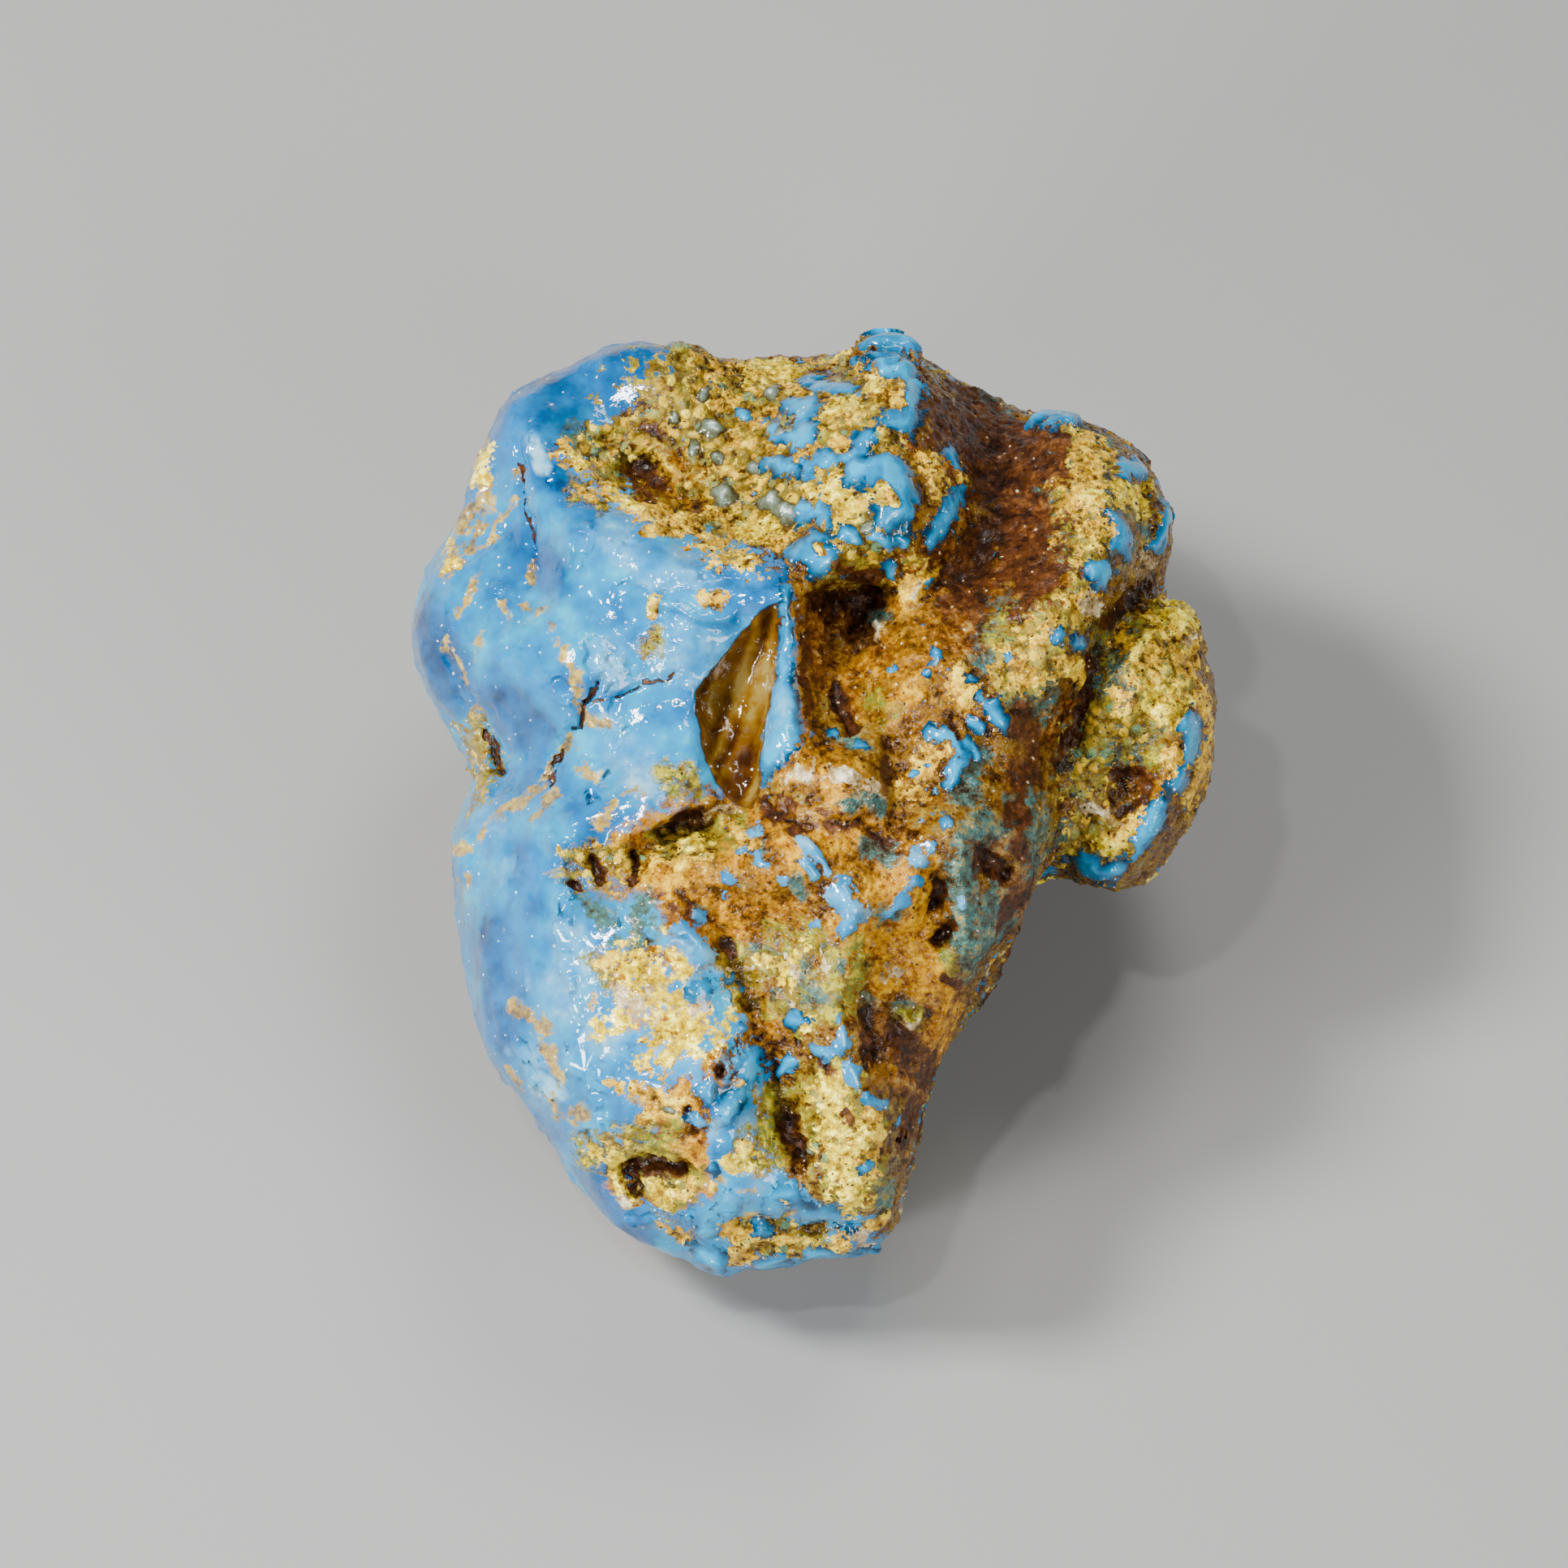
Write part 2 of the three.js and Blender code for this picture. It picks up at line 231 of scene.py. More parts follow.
def inside(outline, wander=0.4):
    """Distance in millimetres from a closed outline of (u, v) places, above 0 within it, below outside."""
    across = u + wander * (wander_u - u)
    up = v + wander * (wander_v - v)
    nearest = np.full(len(u), 1e9)
    within = np.zeros(len(u), bool)
    for (u0, v0), (u1, v1) in zip(outline, outline[1:] + outline[:1]):
        du, dv = u1 - u0, v1 - v0
        along = np.clip(((across - u0) * du + (up - v0) * dv) / (du * du + dv * dv), 0, 1)
        nearest = np.minimum(nearest, np.hypot(across - u0 - along * du, up - v0 - along * dv))
        if dv:
            within ^= ((v0 > up) != (v1 > up)) & (across < u0 + du * (up - v0) / dv)
    return np.where(within, nearest, -nearest)


# Knobs of blue skin that stand out of the crust: rise, reach and line.
BLUE_KNOBS = [
    (0.3, 1.4, (3.6, 28.2), (4.8, 28), (5.8, 27.7)),
    (0.3, 0.45, (2.3, 26.8), (3.4, 26.3)),
    (0.5, 0.8, (4.4, 26.2), (5.4, 26), (6.2, 25.1), (6.3, 23.8), (6, 22.9)),
    (0.45, 0.75, (6, 22.8), (4.8, 22.8), (3.8, 22.2), (3, 21.7)),
    (0.4, 0.65, (0, 26), (1, 25.6), (1.8, 25.2)),
    (0.4, 0.75, (-1.2, 24.2), (-0.2, 24.1), (-0.6, 23.4)),
    (0.45, 0.75, (-2.2, 22.6), (-0.8, 21.6), (-0.2, 22.3)),
    (0.55, 0.55, (-4.4, 23.6)),
    (0.4, 0.7, (-2.4, 20.2), (-1, 19.8), (0.6, 20), (1.2, 20.4)),
    (0.25, 0.4, (2, 20.5), (2.6, 21)),
    (0.6, 0.95, (2.9, 19.8), (4.2, 20), (5.2, 19), (5.4, 17.8), (4.6, 17)),
    (0.5, 0.75, (-0.5, 17.2), (0.6, 17.2)),
    (0.35, 0.5, (2, 16), (2.7, 15.8)),
    (0.35, 0.5, (3.8, 16), (4.5, 15.4)),
    (0.35, 0.45, (5.5, 15.8)),
    (0.3, 0.4, (5.9, 17.6)),
    (0.3, 0.4, (2.7, 24.7)),
    (0.5, 0.95, (-0.6, 14.7), (0.7, 14.4), (0.1, 15.4)),
    (0.5, 0.6, (4.6, 13.8)),
    (0.5, 0.55, (8.4, 21), (8.9, 20), (9, 19)),
    (0.5, 0.6, (8.5, 18), (7.9, 16.7), (7.1, 15.8)),
    (0.3, 0.45, (7.5, 8.7)),
    (0.2, 0.25, (7, 7.8)),
    (0.3, 0.35, (9.8, 7.3), (10.4, 6)),
    (0.4, 0.5, (10.6, 5.6), (11.1, 4.7)),
    (0.35, 0.4, (9.6, 4.8), (10, 4.2)),
    (0.45, 0.5, (7.3, 4.2), (8.2, 3.9), (8.5, 3)),
    (0.45, 0.45, (8.5, 2.4), (8, 1.2)),
    (0.3, 0.35, (9, 3.6), (9.3, 2.8)),
    (0.2, 0.3, (6, 1.6)),
    (0.1, 0.35, (1, 3.7), (1.5, 3.6)),
    (0.1, 0.3, (2.7, 3), (3.1, 2.9)),
    (0.1, 0.25, (4.6, 7.8)),
    (0.2, 0.25, (7, 12.6), (7.3, 13)),
    (0.2, 0.25, (6.8, 2.2)),
    (0.2, 0.3, (11.8, 8.5)),
    (0.4, 0.45, (14.9, 9.9)),
    (0.45, 0.55, (16.1, 9.5)),
    (0.4, 0.55, (18.4, 17.2), (18.9, 16.2), (18.6, 15)),
    (0.4, 0.5, (17, 13.6), (17.7, 13.8), (17.6, 12.8)),
    (0.45, 0.55, (21.8, 18), (21.6, 16.8), (21.1, 15.6)),
    (0.4, 0.6, (20.2, 21), (20.3, 20), (18.9, 20.4)),
    (0.5, 0.7, (14.2, 23.4), (16.1, 23.6)),
    (0.45, 0.6, (22.8, 4.6), (22.6, 2.6), (22.1, 1)),
    (0.45, 0.55, (21.4, -0.3), (20.5, -2), (19.4, -3.2)),
    (0.4, 0.6, (18.4, -4), (17.4, -4.4), (16.3, -3.6)),
    (0.25, 0.35, (-0.9, -2.4), (0.2, -3.2), (1.2, -4.4)),
    (0.3, 0.4, (-0.6, -3.6), (0.2, -4.6)),
    (0.35, 0.75, (1.6, -5.4), (2.3, -6.4)),
    (0.3, 0.45, (2.3, -7.2), (1.7, -7.8)),
    (0.12, 0.45, (-3.4, -1.7), (-3.3, -2.2)),
    (0.1, 0.3, (-4.1, -3.1)),
    (0.12, 0.35, (-3.3, -3.5), (-3.1, -4.1)),
    (0.08, 0.45, (-4.8, -4.7)),
    (0.08, 0.35, (-5.1, -5.7)),
    (0.1, 0.35, (-6.4, -7.1)),
    (0.1, 0.35, (-4.8, -10.7)),
    (0.1, 0.3, (-4.2, -11.4)),
    (0.1, 0.3, (-1.7, -5)),
    (0.3, 0.45, (7.8, -1.3)),
    (0.3, 0.45, (6.9, -2.7)),
    (0.4, 0.6, (6.1, -3.7)),
    (0.25, 0.4, (6, -5)),
    (0.25, 0.5, (-7.7, -7.6), (-6.9, -8.3), (-6.3, -9.5)),
    (0.3, 0.9, (-6.5, -11.4)),
    (0.35, 0.5, (1.7, -13.4), (1.8, -14.4)),
    (0.3, 0.45, (0.9, -14.9), (0.2, -14.6)),
    (0.25, 0.4, (2.4, -15.6), (2.6, -16.6)),
    (0.25, 0.35, (3.2, -17.4), (4.1, -18.2)),
    (0.2, 0.3, (4.9, -19)),
    (0.3, 0.7, (-1, -12.8)),
    (0.3, 0.5, (-1.3, -15.6), (-2, -16.3)),
    (0.3, 0.5, (3.2, -21.8)),
    (0.3, 0.6, (-0.4, -24.8), (1.4, -24.9), (2.2, -25.5)),
    (0.35, 0.5, (0, -27.3), (2, -27.6), (3.8, -27.6)),
    (0.5, 0.75, (-6.5, -27.2), (-5.6, -27.7)),
    (0.25, 0.45, (-3, -28), (-1.6, -27.8)),
    (0.45, 0.7, (-5.2, -19), (-4.4, -17.6), (-3.6, -16.2), (-3.8, -15.4)),
    (0.4, 0.7, (-6.3, -17.2)),
    (0.4, 0.9, (-5, -24.2)),
    (0.45, 0.8, (-6.2, -26)),
    (0.4, 0.9, (-2.4, -24.4), (-1.4, -23.4)),
    (0.3, 0.5, (-7.6, -24.9)),
    (0.3, 0.5, (-3, -26)),
    (0.3, 0.45, (-6, -21.9)),
    (0.3, 0.7, (-7.2, -19.4)),
    (0.15, 0.35, (-0.9, -12.3), (-0.8, -13)),
    (0.15, 0.3, (1.5, -12.7)),
    (0.2, 0.3, (-1.2, -15.5), (-1.8, -15.8)),
    (0.15, 0.25, (-1.3, -16.4)),
    (0.1, 0.3, (-4.3, -13.7)),
    (0.1, 0.25, (-5.4, -10.7)),
    (0.1, 0.4, (4.2, -6.7), (5.3, -5.9)),
    (0.15, 0.3, (0.2, -7.4)),
    (0.2, 0.35, (-6.3, -17.7)),
    (0.15, 0.2, (-5.9, -21.9)),
    (0.15, 0.3, (8.7, -6.1)),
    (0.12, 0.3, (-3.3, -25.7)),
]

# Knobs that stand out over the rim of the face: rise, reach and line.
RIM_KNOBS = [
    (1.2, 2.0, (3.2, 28), (4.8, 28.2), (5.8, 27.8)),
    (0.4, 0.9, (14.6, 23.4), (16, 23.6)),
    (0.4, 0.8, (-8.2, 27.6), (-7.4, 27.8)),
    (0.35, 0.8, (21.6, 17.4), (21.2, 15.8)),
    (0.35, 0.9, (23, 11.4), (23.6, 9.8)),
    (0.4, 0.8, (16.6, -4.6), (18.4, -4.6)),
    (0.35, 0.9, (-6.4, -28), (-5.4, -28.2)),
    (0.35, 0.7, (4, -27.6)),
    (0.3, 0.8, (-21.4, -2.6), (-21, -4)),
    (0.3, 0.9, (-20.6, 20.6), (-20.8, 19)),
]

# The gold and ochre crust. This list and the colour lists below have a reach and a line for each mark.
CRUST = [
    (0.9, (-7, 26.6), (-5, 26.8), (-2, 27), (0.6, 27.2), (2.2, 27.2)),
    (1.0, (-1.6, 26), (-0.6, 25.6)),
    (0.9, (-6.8, 25), (-5.4, 24.4), (-3.4, 25)),
    (0.8, (-2.8, 23.8), (-3.8, 22.2), (-5, 21.4)),
    (1.0, (-3.2, 20.6), (-1, 20.8), (0.3, 20.7)),
    (0.9, (-5.6, 20), (-4.4, 19.6), (-3.4, 19.2)),
    (1.0, (0.6, 23.4), (1.8, 24), (2.6, 23.2)),
    (0.7, (3.6, 25.4), (4.4, 25), (3.6, 24.4)),
    (0.4, (5.2, 24.4), (5.6, 23.4)),
    (0.45, (2.6, 26.3), (3.6, 25.6)),
    (0.7, (0.7, 21.5), (1.7, 21.7)),
    (1.1, (0.4, 18.3), (1.6, 18.9), (2.4, 18), (1.6, 17.4)),
    (0.6, (-1, 19), (0, 18.5)),
    (0.4, (4.6, 18.7)),
    (0.5, (7, 20.4), (7.5, 19.2), (7.7, 18.4)),
    (0.4, (8, 17.4), (8.4, 18.8)),
    (0.8, (-9.4, 17), (-7.6, 16.9), (-5.8, 17.1), (-3.8, 16.5), (-2, 16)),
    (0.5, (-6.6, 15.6), (-5.4, 15.2)),
    (0.65, (-5.3, 14.4), (-4.2, 13.9), (-3.6, 14.3)),
    (0.6, (-15.2, 21.3), (-13.8, 20.3), (-12.6, 18.9), (-11.4, 18.1), (-10.2, 17.4)),
    (0.35, (-12.8, 22.4), (-11.8, 22.2)),
    (0.35, (-9.6, 21.4), (-8.9, 20.4)),
    (0.35, (-14.4, 19), (-13.2, 18.2)),
    (0.4, (-12.2, 21.2), (-12.8, 20.6)),
    (0.3, (-9.1, 12.7), (-9.3, 12), (-9.7, 11.3)),
    (0.4, (-6.5, 12), (-5.6, 11.9)),
    (0.6, (-7.4, -2.7)),
    (0.5, (-9.4, -3.8), (-8, -4), (-6, -3.6)),
    (0.35, (-12.6, -9.8), (-11.6, -9.2)),
    (0.5, (-4.6, -1.8), (-3.6, -2.8)),
    (0.35, (-10.2, -15.6), (-8.9, -16.2)),
    (0.45, (-9.6, -17.6), (-8.2, -18), (-9.6, -19.1)),
    (0.4, (-11.8, -22.6), (-11.2, -23.6)),
    (0.35, (-9, -25.4), (-7.7, -26.3)),
    (0.6, (-5, -25.8), (-3, -26.5), (0, -26.6), (2.2, -26.6)),
    (0.4, (-4.6, -27.4), (-2.6, -27.1)),
    (0.5, (3.4, -18.6), (3.8, -20.4), (3.6, -22)),
    (0.35, (4.6, -25.2), (3.6, -25.6)),
    (0.8, (7, 13.6), (6, 12.6)),
    (1.8, (16.2, 21), (16.8, 19), (16.6, 17)),
    (0.7, (14.6, 15.4), (16, 14.6)),
    (0.9, (18.2, 18.8), (20, 18.6)),
    (0.6, (17, 16.4), (17.2, 14.9)),
    (0.7, (15.4, 12), (17, 11.7)),
    (1.0, (14.2, 11.4), (13.6, 10)),
    (0.7, (15.4, 8.1), (16.2, 7.5)),
    (1.0, (12.4, 8.8), (11.8, 7.6), (13.2, 6.8)),
    (1.0, (21.6, 10.6), (22.6, 11.3)),
    (1.2, (21, 8.8), (22.6, 8.4)),
    (1.0, (21.6, 6), (20.4, 5)),
    (0.7, (18.6, 6.4), (18.8, 4.8)),
    (0.8, (19.6, 7.4), (20.8, 7.2)),
    (0.6, (22.4, 1), (21.8, 2.6)),
    (0.6, (16.8, -2.6), (18.2, -2.9), (19.6, -2.2), (20.6, -0.8)),
    (0.6, (19, 10), (19.4, 8.6)),
    (0.12, (18.1, 2.2), (17.8, 0.2), (18.3, -1.2)),
    (0.12, (19.4, 2.4), (19.5, 0.2), (19, -1.6)),
    (0.9, (23.6, 5.8), (24, 3), (23.5, 0)),
    (0.8, (9, 7.4), (9.4, 6.2)),
    (0.8, (6.9, 2.4), (6.4, 0.6)),
    (0.25, (-9.6, -15.8), (-9.4, -16.5), (-8.7, -15.6)),
    (0.25, (-10, -14.3)),
    (0.25, (-12, -16.8), (-11.4, -17.1)),
    (0.3, (-6.1, -23.1)),
    (0.35, (-4.2, -20.8), (-3.6, -20.6)),
    (0.25, (-3.9, -25.4), (-2.8, -26.3)),
    (0.3, (-10.6, -17.4)),
    (0.5, (0.8, -17), (1.6, -18.6), (2.6, -20.4), (2.2, -23.2)),
    (0.3, (-8.6, -23.8), (-7.4, -23)),
]

# Gold flakes that lie over the blue knobs.
FLAKES = [
    (0.5, (3.4, 25.4), (4, 24.8)),
    (0.2, (5.3, 25.3)),
    (0.2, (5.2, 24.6), (5.7, 24.6)),
    (0.2, (5.6, 24)),
    (0.25, (3.8, 22.1), (4.3, 21.8)),
    (0.25, (2.4, 26.2)),
    (0.3, (4.4, 18.9), (4.4, 18.4), (4.8, 18.3)),
    (0.25, (-0.8, 20)),
    (0.25, (0.6, 19.6)),
    (0.2, (0.2, 17.4)),
    (0.25, (0.5, 14.9)),
    (0.25, (-1.6, 22.4)),
    (0.3, (17.3, 15.7)),
    (0.25, (8.9, 19.4)),
    (0.25, (7.9, 3.2)),
    (0.2, (8.7, 4.2)),
    (0.25, (10, 6.6)),
    (0.2, (22.5, 2)),
    (0.2, (19.2, -3)),
    (0.25, (-4.2, -16.8)),
    (0.25, (-5, -24.6)),
    (0.2, (-1.6, -24)),
]

# Thin ochre veins and stains in the blue skin.
VEINS = [
    (0.4, (-20.4, 21.8), (-20.3, 20), (-19.9, 18)),
    (0.36, (-20.6, 17.9), (-21.4, 16.6), (-21.9, 15.2), (-22.5, 13.6)),
    (0.18, (-20.2, 17.4), (-20.9, 15.6), (-21.6, 14.4)),
    (0.16, (-18.2, 18.4), (-19.4, 17), (-19.6, 16), (-21.2, 15), (-22.2, 13.9)),
    (0.18, (-20.4, 13.6), (-21, 12), (-21.6, 10.9)),
    (0.2, (-19.8, 10.2), (-20.8, 8.6)),
    (0.2, (-17.2, 14.6), (-17, 13.2)),
    (0.24, (-18.4, 20), (-17.8, 19.2)),
    (0.2, (-18.9, 12), (-18.3, 10.9)),
    (0.16, (-17.6, 11.8), (-16.6, 11.1)),
    (0.28, (-15.8, 10.4), (-15, 9), (-14.6, 7.8)),
    (0.32, (-14.4, 7.4), (-14.2, 6), (-13.6, 5)),
    (0.36, (-13.8, 4.8), (-12.4, 4.4)),
    (0.28, (-14.7, 3.6), (-15.6, 2), (-16.2, 1.2)),
    (0.32, (-14, 2.2), (-13.1, 1.2)),
    (0.24, (-11.2, 0.5), (-9.8, 0.2)),
    (0.24, (-22.5, 9.8), (-21.9, 8.4), (-21.4, 7.2)),
    (0.4, (-20.8, 5), (-20.2, 3.2), (-20.4, 1.6), (-21.4, 0.4)),
    (0.32, (-16.2, 0.8), (-17.6, -0.2), (-19.2, -1)),
    (0.2, (-15.4, 0.6), (-16.6, -1.2)),
    (0.24, (-19.6, -1.8), (-20.6, -2.8), (-21.6, -3)),
    (0.2, (-20.6, -4), (-21, -5)),
    (0.32, (-17.6, -12.3), (-16.8, -13), (-16, -13.8)),
    (0.32, (-16, -13.9), (-15.5, -15), (-14.8, -16.6)),
    (0.2, (-18.2, -16), (-17.9, -17.2)),
    (0.28, (-15.6, -18), (-15.2, -19.3)),
    (0.28, (-14.8, -18.6), (-13.7, -18.5), (-14.2, -19.7)),
    (0.24, (-9.9, 10), (-9.8, 8.8)),
    (0.4, (-12, -0.2), (-12.8, -1.4)),
    (0.2, (-5.8, -22.5), (-4.6, -23.2), (-3.4, -23.2)),
    (0.22, (-3.8, -24.8), (-2.2, -25.4), (-0.6, -24.6)),
    (0.2, (-7.4, -25.8), (-6.8, -26.8)),
    (0.25, (-4.2, -22), (-2.8, -22)),
    (0.2, (-0.4, -25.8), (1.2, -26)),
    (0.25, (-3.4, -17.4), (-2.8, -19)),
    (0.2, (-9.2, -5.6), (-10.4, -6.8), (-10.6, -8.4)),
    (0.25, (-8.7, -15), (-7.8, -15.6)),
    (0.2, (-11.2, -17.6), (-10, -18.2)),
]

# Bright straw-yellow grains in the crust.
STRAW = [
    (1.6, (-10.2, -10.4), (-9, -11), (-7.8, -12.5), (-6.8, -13.4)),
    (0.5, (-9.4, -13.6), (-8.6, -14.2)),
    (0.35, (-10.4, -15.4), (-9.6, -14.6)),
    (0.3, (-8.8, -15.6), (-8.2, -14.8)),
    (0.6, (-11.4, -12.7), (-12.6, -13.2)),
    (0.5, (-12.9, -21.1), (-11.8, -21.3)),
    (0.35, (-11.8, -22.6), (-11.2, -23.8)),
    (0.6, (-3.6, -21), (-4.6, -21.8)),
    (0.5, (-8.6, -23.4)),
    (1.1, (1, -17.4), (1.6, -19.2)),
    (1.0, (1.8, -21.2), (2.3, -23.6)),
    (0.9, (0.8, 18.2), (1.7, 18.4), (2, 17.3)),
    (0.6, (1.2, 23.6), (2.2, 23.8)),
    (0.5, (3.8, 25.2)),
    (0.4, (-12.2, 18.6), (-11, 18)),
    (0.3, (-14.8, 21), (-13.8, 20.2)),
    (0.4, (-20.2, 21.5), (-20.3, 19.4)),
    (0.3, (-21.8, 15.8), (-22.2, 14.2)),
    (0.2, (-9, 12.5), (-9.7, 11.6)),
    (0.9, (22.2, 11.2)),
    (0.7, (20.8, 6.2), (21.7, 4.9)),
    (0.3, (17.8, -2.8), (18.8, -2.8)),
    (0.3, (23, 5.8)),
    (0.4, (18.6, -2.8), (19.4, -2.5)),
    (0.4, (-0.8, -8.8), (-1.4, -9.8)),
    (0.8, (18.6, 19), (20, 18.8)),
    (0.7, (-7, -2.7)),
    (0.5, (-4, 16.3), (-2.4, 16.1)),
    (0.4, (-5, 14.2), (-3.9, 14.1)),
    (0.7, (-1.2, 26.8), (-3.6, 26.4)),
    (0.4, (-3, -9.4), (-1.7, -10)),
    (0.35, (-2, -10.6), (-1.3, -10.9)),
    (0.4, (-9.2, -22.9), (-8.6, -24)),
    (0.35, (-4, -20.8)),
    (0.3, (-0.3, -12.6), (-0.6, -13.4)),
]

# Broken pale crystal and bubbles, almost white, and white marks on glints and streaks of the wet gloss, which
# are painted highlights.
CREAM_AND_GLINTS = [
    (0.2, (-20.6, 2.6), (-20, 1.6)),
    (0.2, (-1.2, 2.6), (-0.8, 1.4)),
    (0.35, (2.6, 0.7), (3.4, 0.4)),
    (0.2, (1.7, 1.1), (2.6, 1)),
    (0.5, (16.7, -0.4), (17.8, -0.8)),
    (0.25, (22.7, 9.8)),
    (0.25, (-6.2, -1), (-5.2, -0.5)),
    (0.35, (4.1, 10), (4.1, 9.4)),
    (0.25, (6, 12.2), (6.3, 12.8)),
    (0.4, (-11.3, -24.1)),
    (0.4, (3.3, -26.9), (3.2, -26.2)),
    (0.4, (20.6, 15), (20.8, 14.4)),
    (0.2, (0.8, -10), (0.2, -9)),
    (0.25, (3.3, -8.4), (3.6, -8.8)),
    (0.6, (-11.4, -11.4), (-10.6, -12)),
    (0.3, (-7.4, -11.6)),
    (0.35, (-12.9, -12)),
    (0.3, (4.8, -9.8), (5.6, -10)),
    (0.15, (4.9, -13.2), (5.6, -13.7), (6.2, -13)),
    (0.4, (17.4, 11.6), (16.6, 12)),
    (0.16, (-1.8, -9.2), (-1.5, -9.8), (-1.1, -10.3)),
    (0.12, (-2.6, -11.1), (-1.6, -11.9), (-0.9, -12)),
    # White marks on two glints of the straw patch: painted highlights.
    (0.2, (-10, -10.3)),
    (0.2, (-9.7, -11.3), (-9.3, -11.2)),
    (0.25, (3.5, -8.7)),
    (0.22, (6.5, -8.7)),
    (0.25, (4.3, -10.7)),
    (0.16, (-3.7, -10.3), (-4.8, -10.2)),
    # White lines along the ridges of the hump's fan: painted highlights.
    (0.12, (-1.5, 0.9), (-1, 2.2)),
    (0.12, (-0.4, 0.9), (0, 2.2)),
    (0.3, (1.3, 1.5), (1.7, 1)),
    (0.1, (0.5, 0.3), (1, 1.2)),
]

# The part of the face, on its right, where brown amber is the ground instead of blue skin.
AMBER_GROUND = [
    (-8.4, 32), (-8.6, 26.8), (-13, 22.4), (-10.4, 18), (-6, 16.4), (-1.6, 14), (-1, 11.6), (-0.2, 4),
    (-2.6, 1), (-5.4, 0), (-11.6, -2.6), (-12.4, -4.6), (-9, -5.6), (-6.4, -7.6), (-3.2, -12.8),
    (-1.2, -13.6), (-2, -17), (-2, -22), (1, -24.6), (4, -25), (6, -32), (32, -32), (32, 32),
]

# Patches of brown amber beyond it, where the skin is worn through.
AMBER = [
    (1.6, (-3.6, 17.4), (-1.6, 16)),
    (0.9, (-5.2, -8), (-4.4, -10), (-3.4, -12.6)),
    (1.5, (-2.6, -13.4), (-0.8, -14.2), (-3, -15)),
    (0.9, (-7.8, -17.6), (-7.2, -20.4)),
    (1.2, (-11.4, -21.8), (-8, -21.8), (-10.4, -23.4)),
    (1.2, (-12.8, 22), (-9.6, 22.4), (-9, 24.8)),
    (0.9, (-8.6, 17), (-6.6, 17.2)),
    (0.5, (-8.2, 27.3), (-7.2, 27.3)),
    (0.5, (-6, 12)),
    (1.0, (-4, -26.6), (0, -26.6)),
]

# Bright orange amber.
ORANGE = [
    (1.7, (3.2, -8), (5, -8), (6.2, -9.6), (4.4, -10.4)),
    (0.9, (6.6, -4), (6.3, -6.4)),
    (0.8, (-11.6, -2.9), (-9.4, -1.2), (-7.2, -0.5), (-5.4, 0.1)),
    (1.4, (-12, -4.2), (-10, -4.3), (-7.6, -4.3), (-5.2, -3.4), (-3.4, -3)),
    (1.0, (-8.4, -6.2), (-6.6, -7.8), (-4.8, -9.6), (-3.8, -11)),
    (1.2, (-3.6, -1.2), (-1.8, -3), (-1.4, -5.6)),
    (1.8, (-2.4, -4.6), (0, -2.8), (2.8, -1.4)),
    (1.6, (-6.8, -5.4), (-4, -6.6), (-2.6, -8)),
    (0.5, (-11.6, -9.4), (-9.8, -9), (-8, -9.3)),
    (1.2, (-1, 2.4), (0.8, 1.8), (2.6, 0.2)),
    (0.9, (1, -2.6), (3.2, -3.6), (5, -3)),
    (0.4, (-0.9, 12.4), (-0.9, 9), (-0.6, 6.6), (-0.2, 4.4)),
    (1.5, (1.6, 7.6), (4, 8.4), (6, 8.4), (7.4, 9.6)),
    (1.2, (3, 6), (5.6, 5.4)),
    (0.9, (8.8, 7), (9.6, 5.4)),
    (0.8, (6.9, 2.6), (6.2, 0.8)),
    (0.3, (-6.4, -16.3), (-5.2, -14.8), (-4.1, -16), (-5.2, -16.9), (-6.4, -16.3)),
    (0.35, (-10.6, -21.2), (-8.6, -21.2)),
    (0.5, (-8.4, -19.8), (-7, -21), (-6.8, -22.6)),
    (0.6, (4.2, -15.8), (4.8, -16.6), (5.8, -17.4)),
    (0.5, (5.6, -19), (5.6, -21.4)),
    (0.5, (8.7, -10), (8.5, -12), (8, -13.6), (7.4, -15)),
    (0.6, (15.2, 11.6), (14.4, 12)),
    (0.5, (15.4, 8), (16.2, 7.4)),
    (0.8, (19.4, 6.8), (18.4, 6)),
    (0.7, (22.8, 7.6), (23.4, 5)),
    (0.6, (20.8, 1.8), (21, 0.6)),
    (0.6, (-8.8, -13.4), (-7.2, -14)),
    (0.5, (-12.4, -9.8), (-11.2, -9.8)),
    (0.4, (-10.4, 17.4), (-8.4, 17)),
    (0.5, (-12.6, 21.6), (-12, 20.6)),
    (1.2, (-9.6, 19), (-8, 19.4), (-7, 18)),
    (0.8, (-9, 22), (-8, 20.6)),
    (0.5, (-10.4, 18.4), (-9, 17.8)),
    (0.4, (-7.6, 27)),
    (0.6, (5.2, 20.6), (5.6, 21.6)),
    (0.5, (-4.8, -7.8), (-3.8, -8.8)),
    (0.5, (-1.3, -7.4), (-1.1, -8.4)),
    (0.45, (0.4, -9.6), (1.1, -10.6)),
    (0.5, (-3, -12.6), (-2.2, -13.6), (-3.4, -13.4)),
    (2.4, (4, -8.4), (6, -8.6)),
    (0.6, (6.1, -7), (6.7, -5.4)),
    (0.5, (8.6, -11), (8.3, -12)),
    (0.45, (-8.2, -17.6), (-7.8, -18.4)),
    (0.4, (-7.7, -21.1), (-6.8, -22.2), (-7.9, -24)),
    (0.35, (-6.2, -23)),
    (0.3, (-11.4, -23), (-10.9, -23.4)),
    (0.35, (-12.6, -9.6), (-12.1, -10.1), (-11.5, -9.9), (-11.5, -10.7)),
    (0.5, (-7.6, -20.2), (-6.8, -21.6), (-7.2, -23.4)),
    (0.4, (-9.8, -19.2), (-8.6, -19.6)),
]

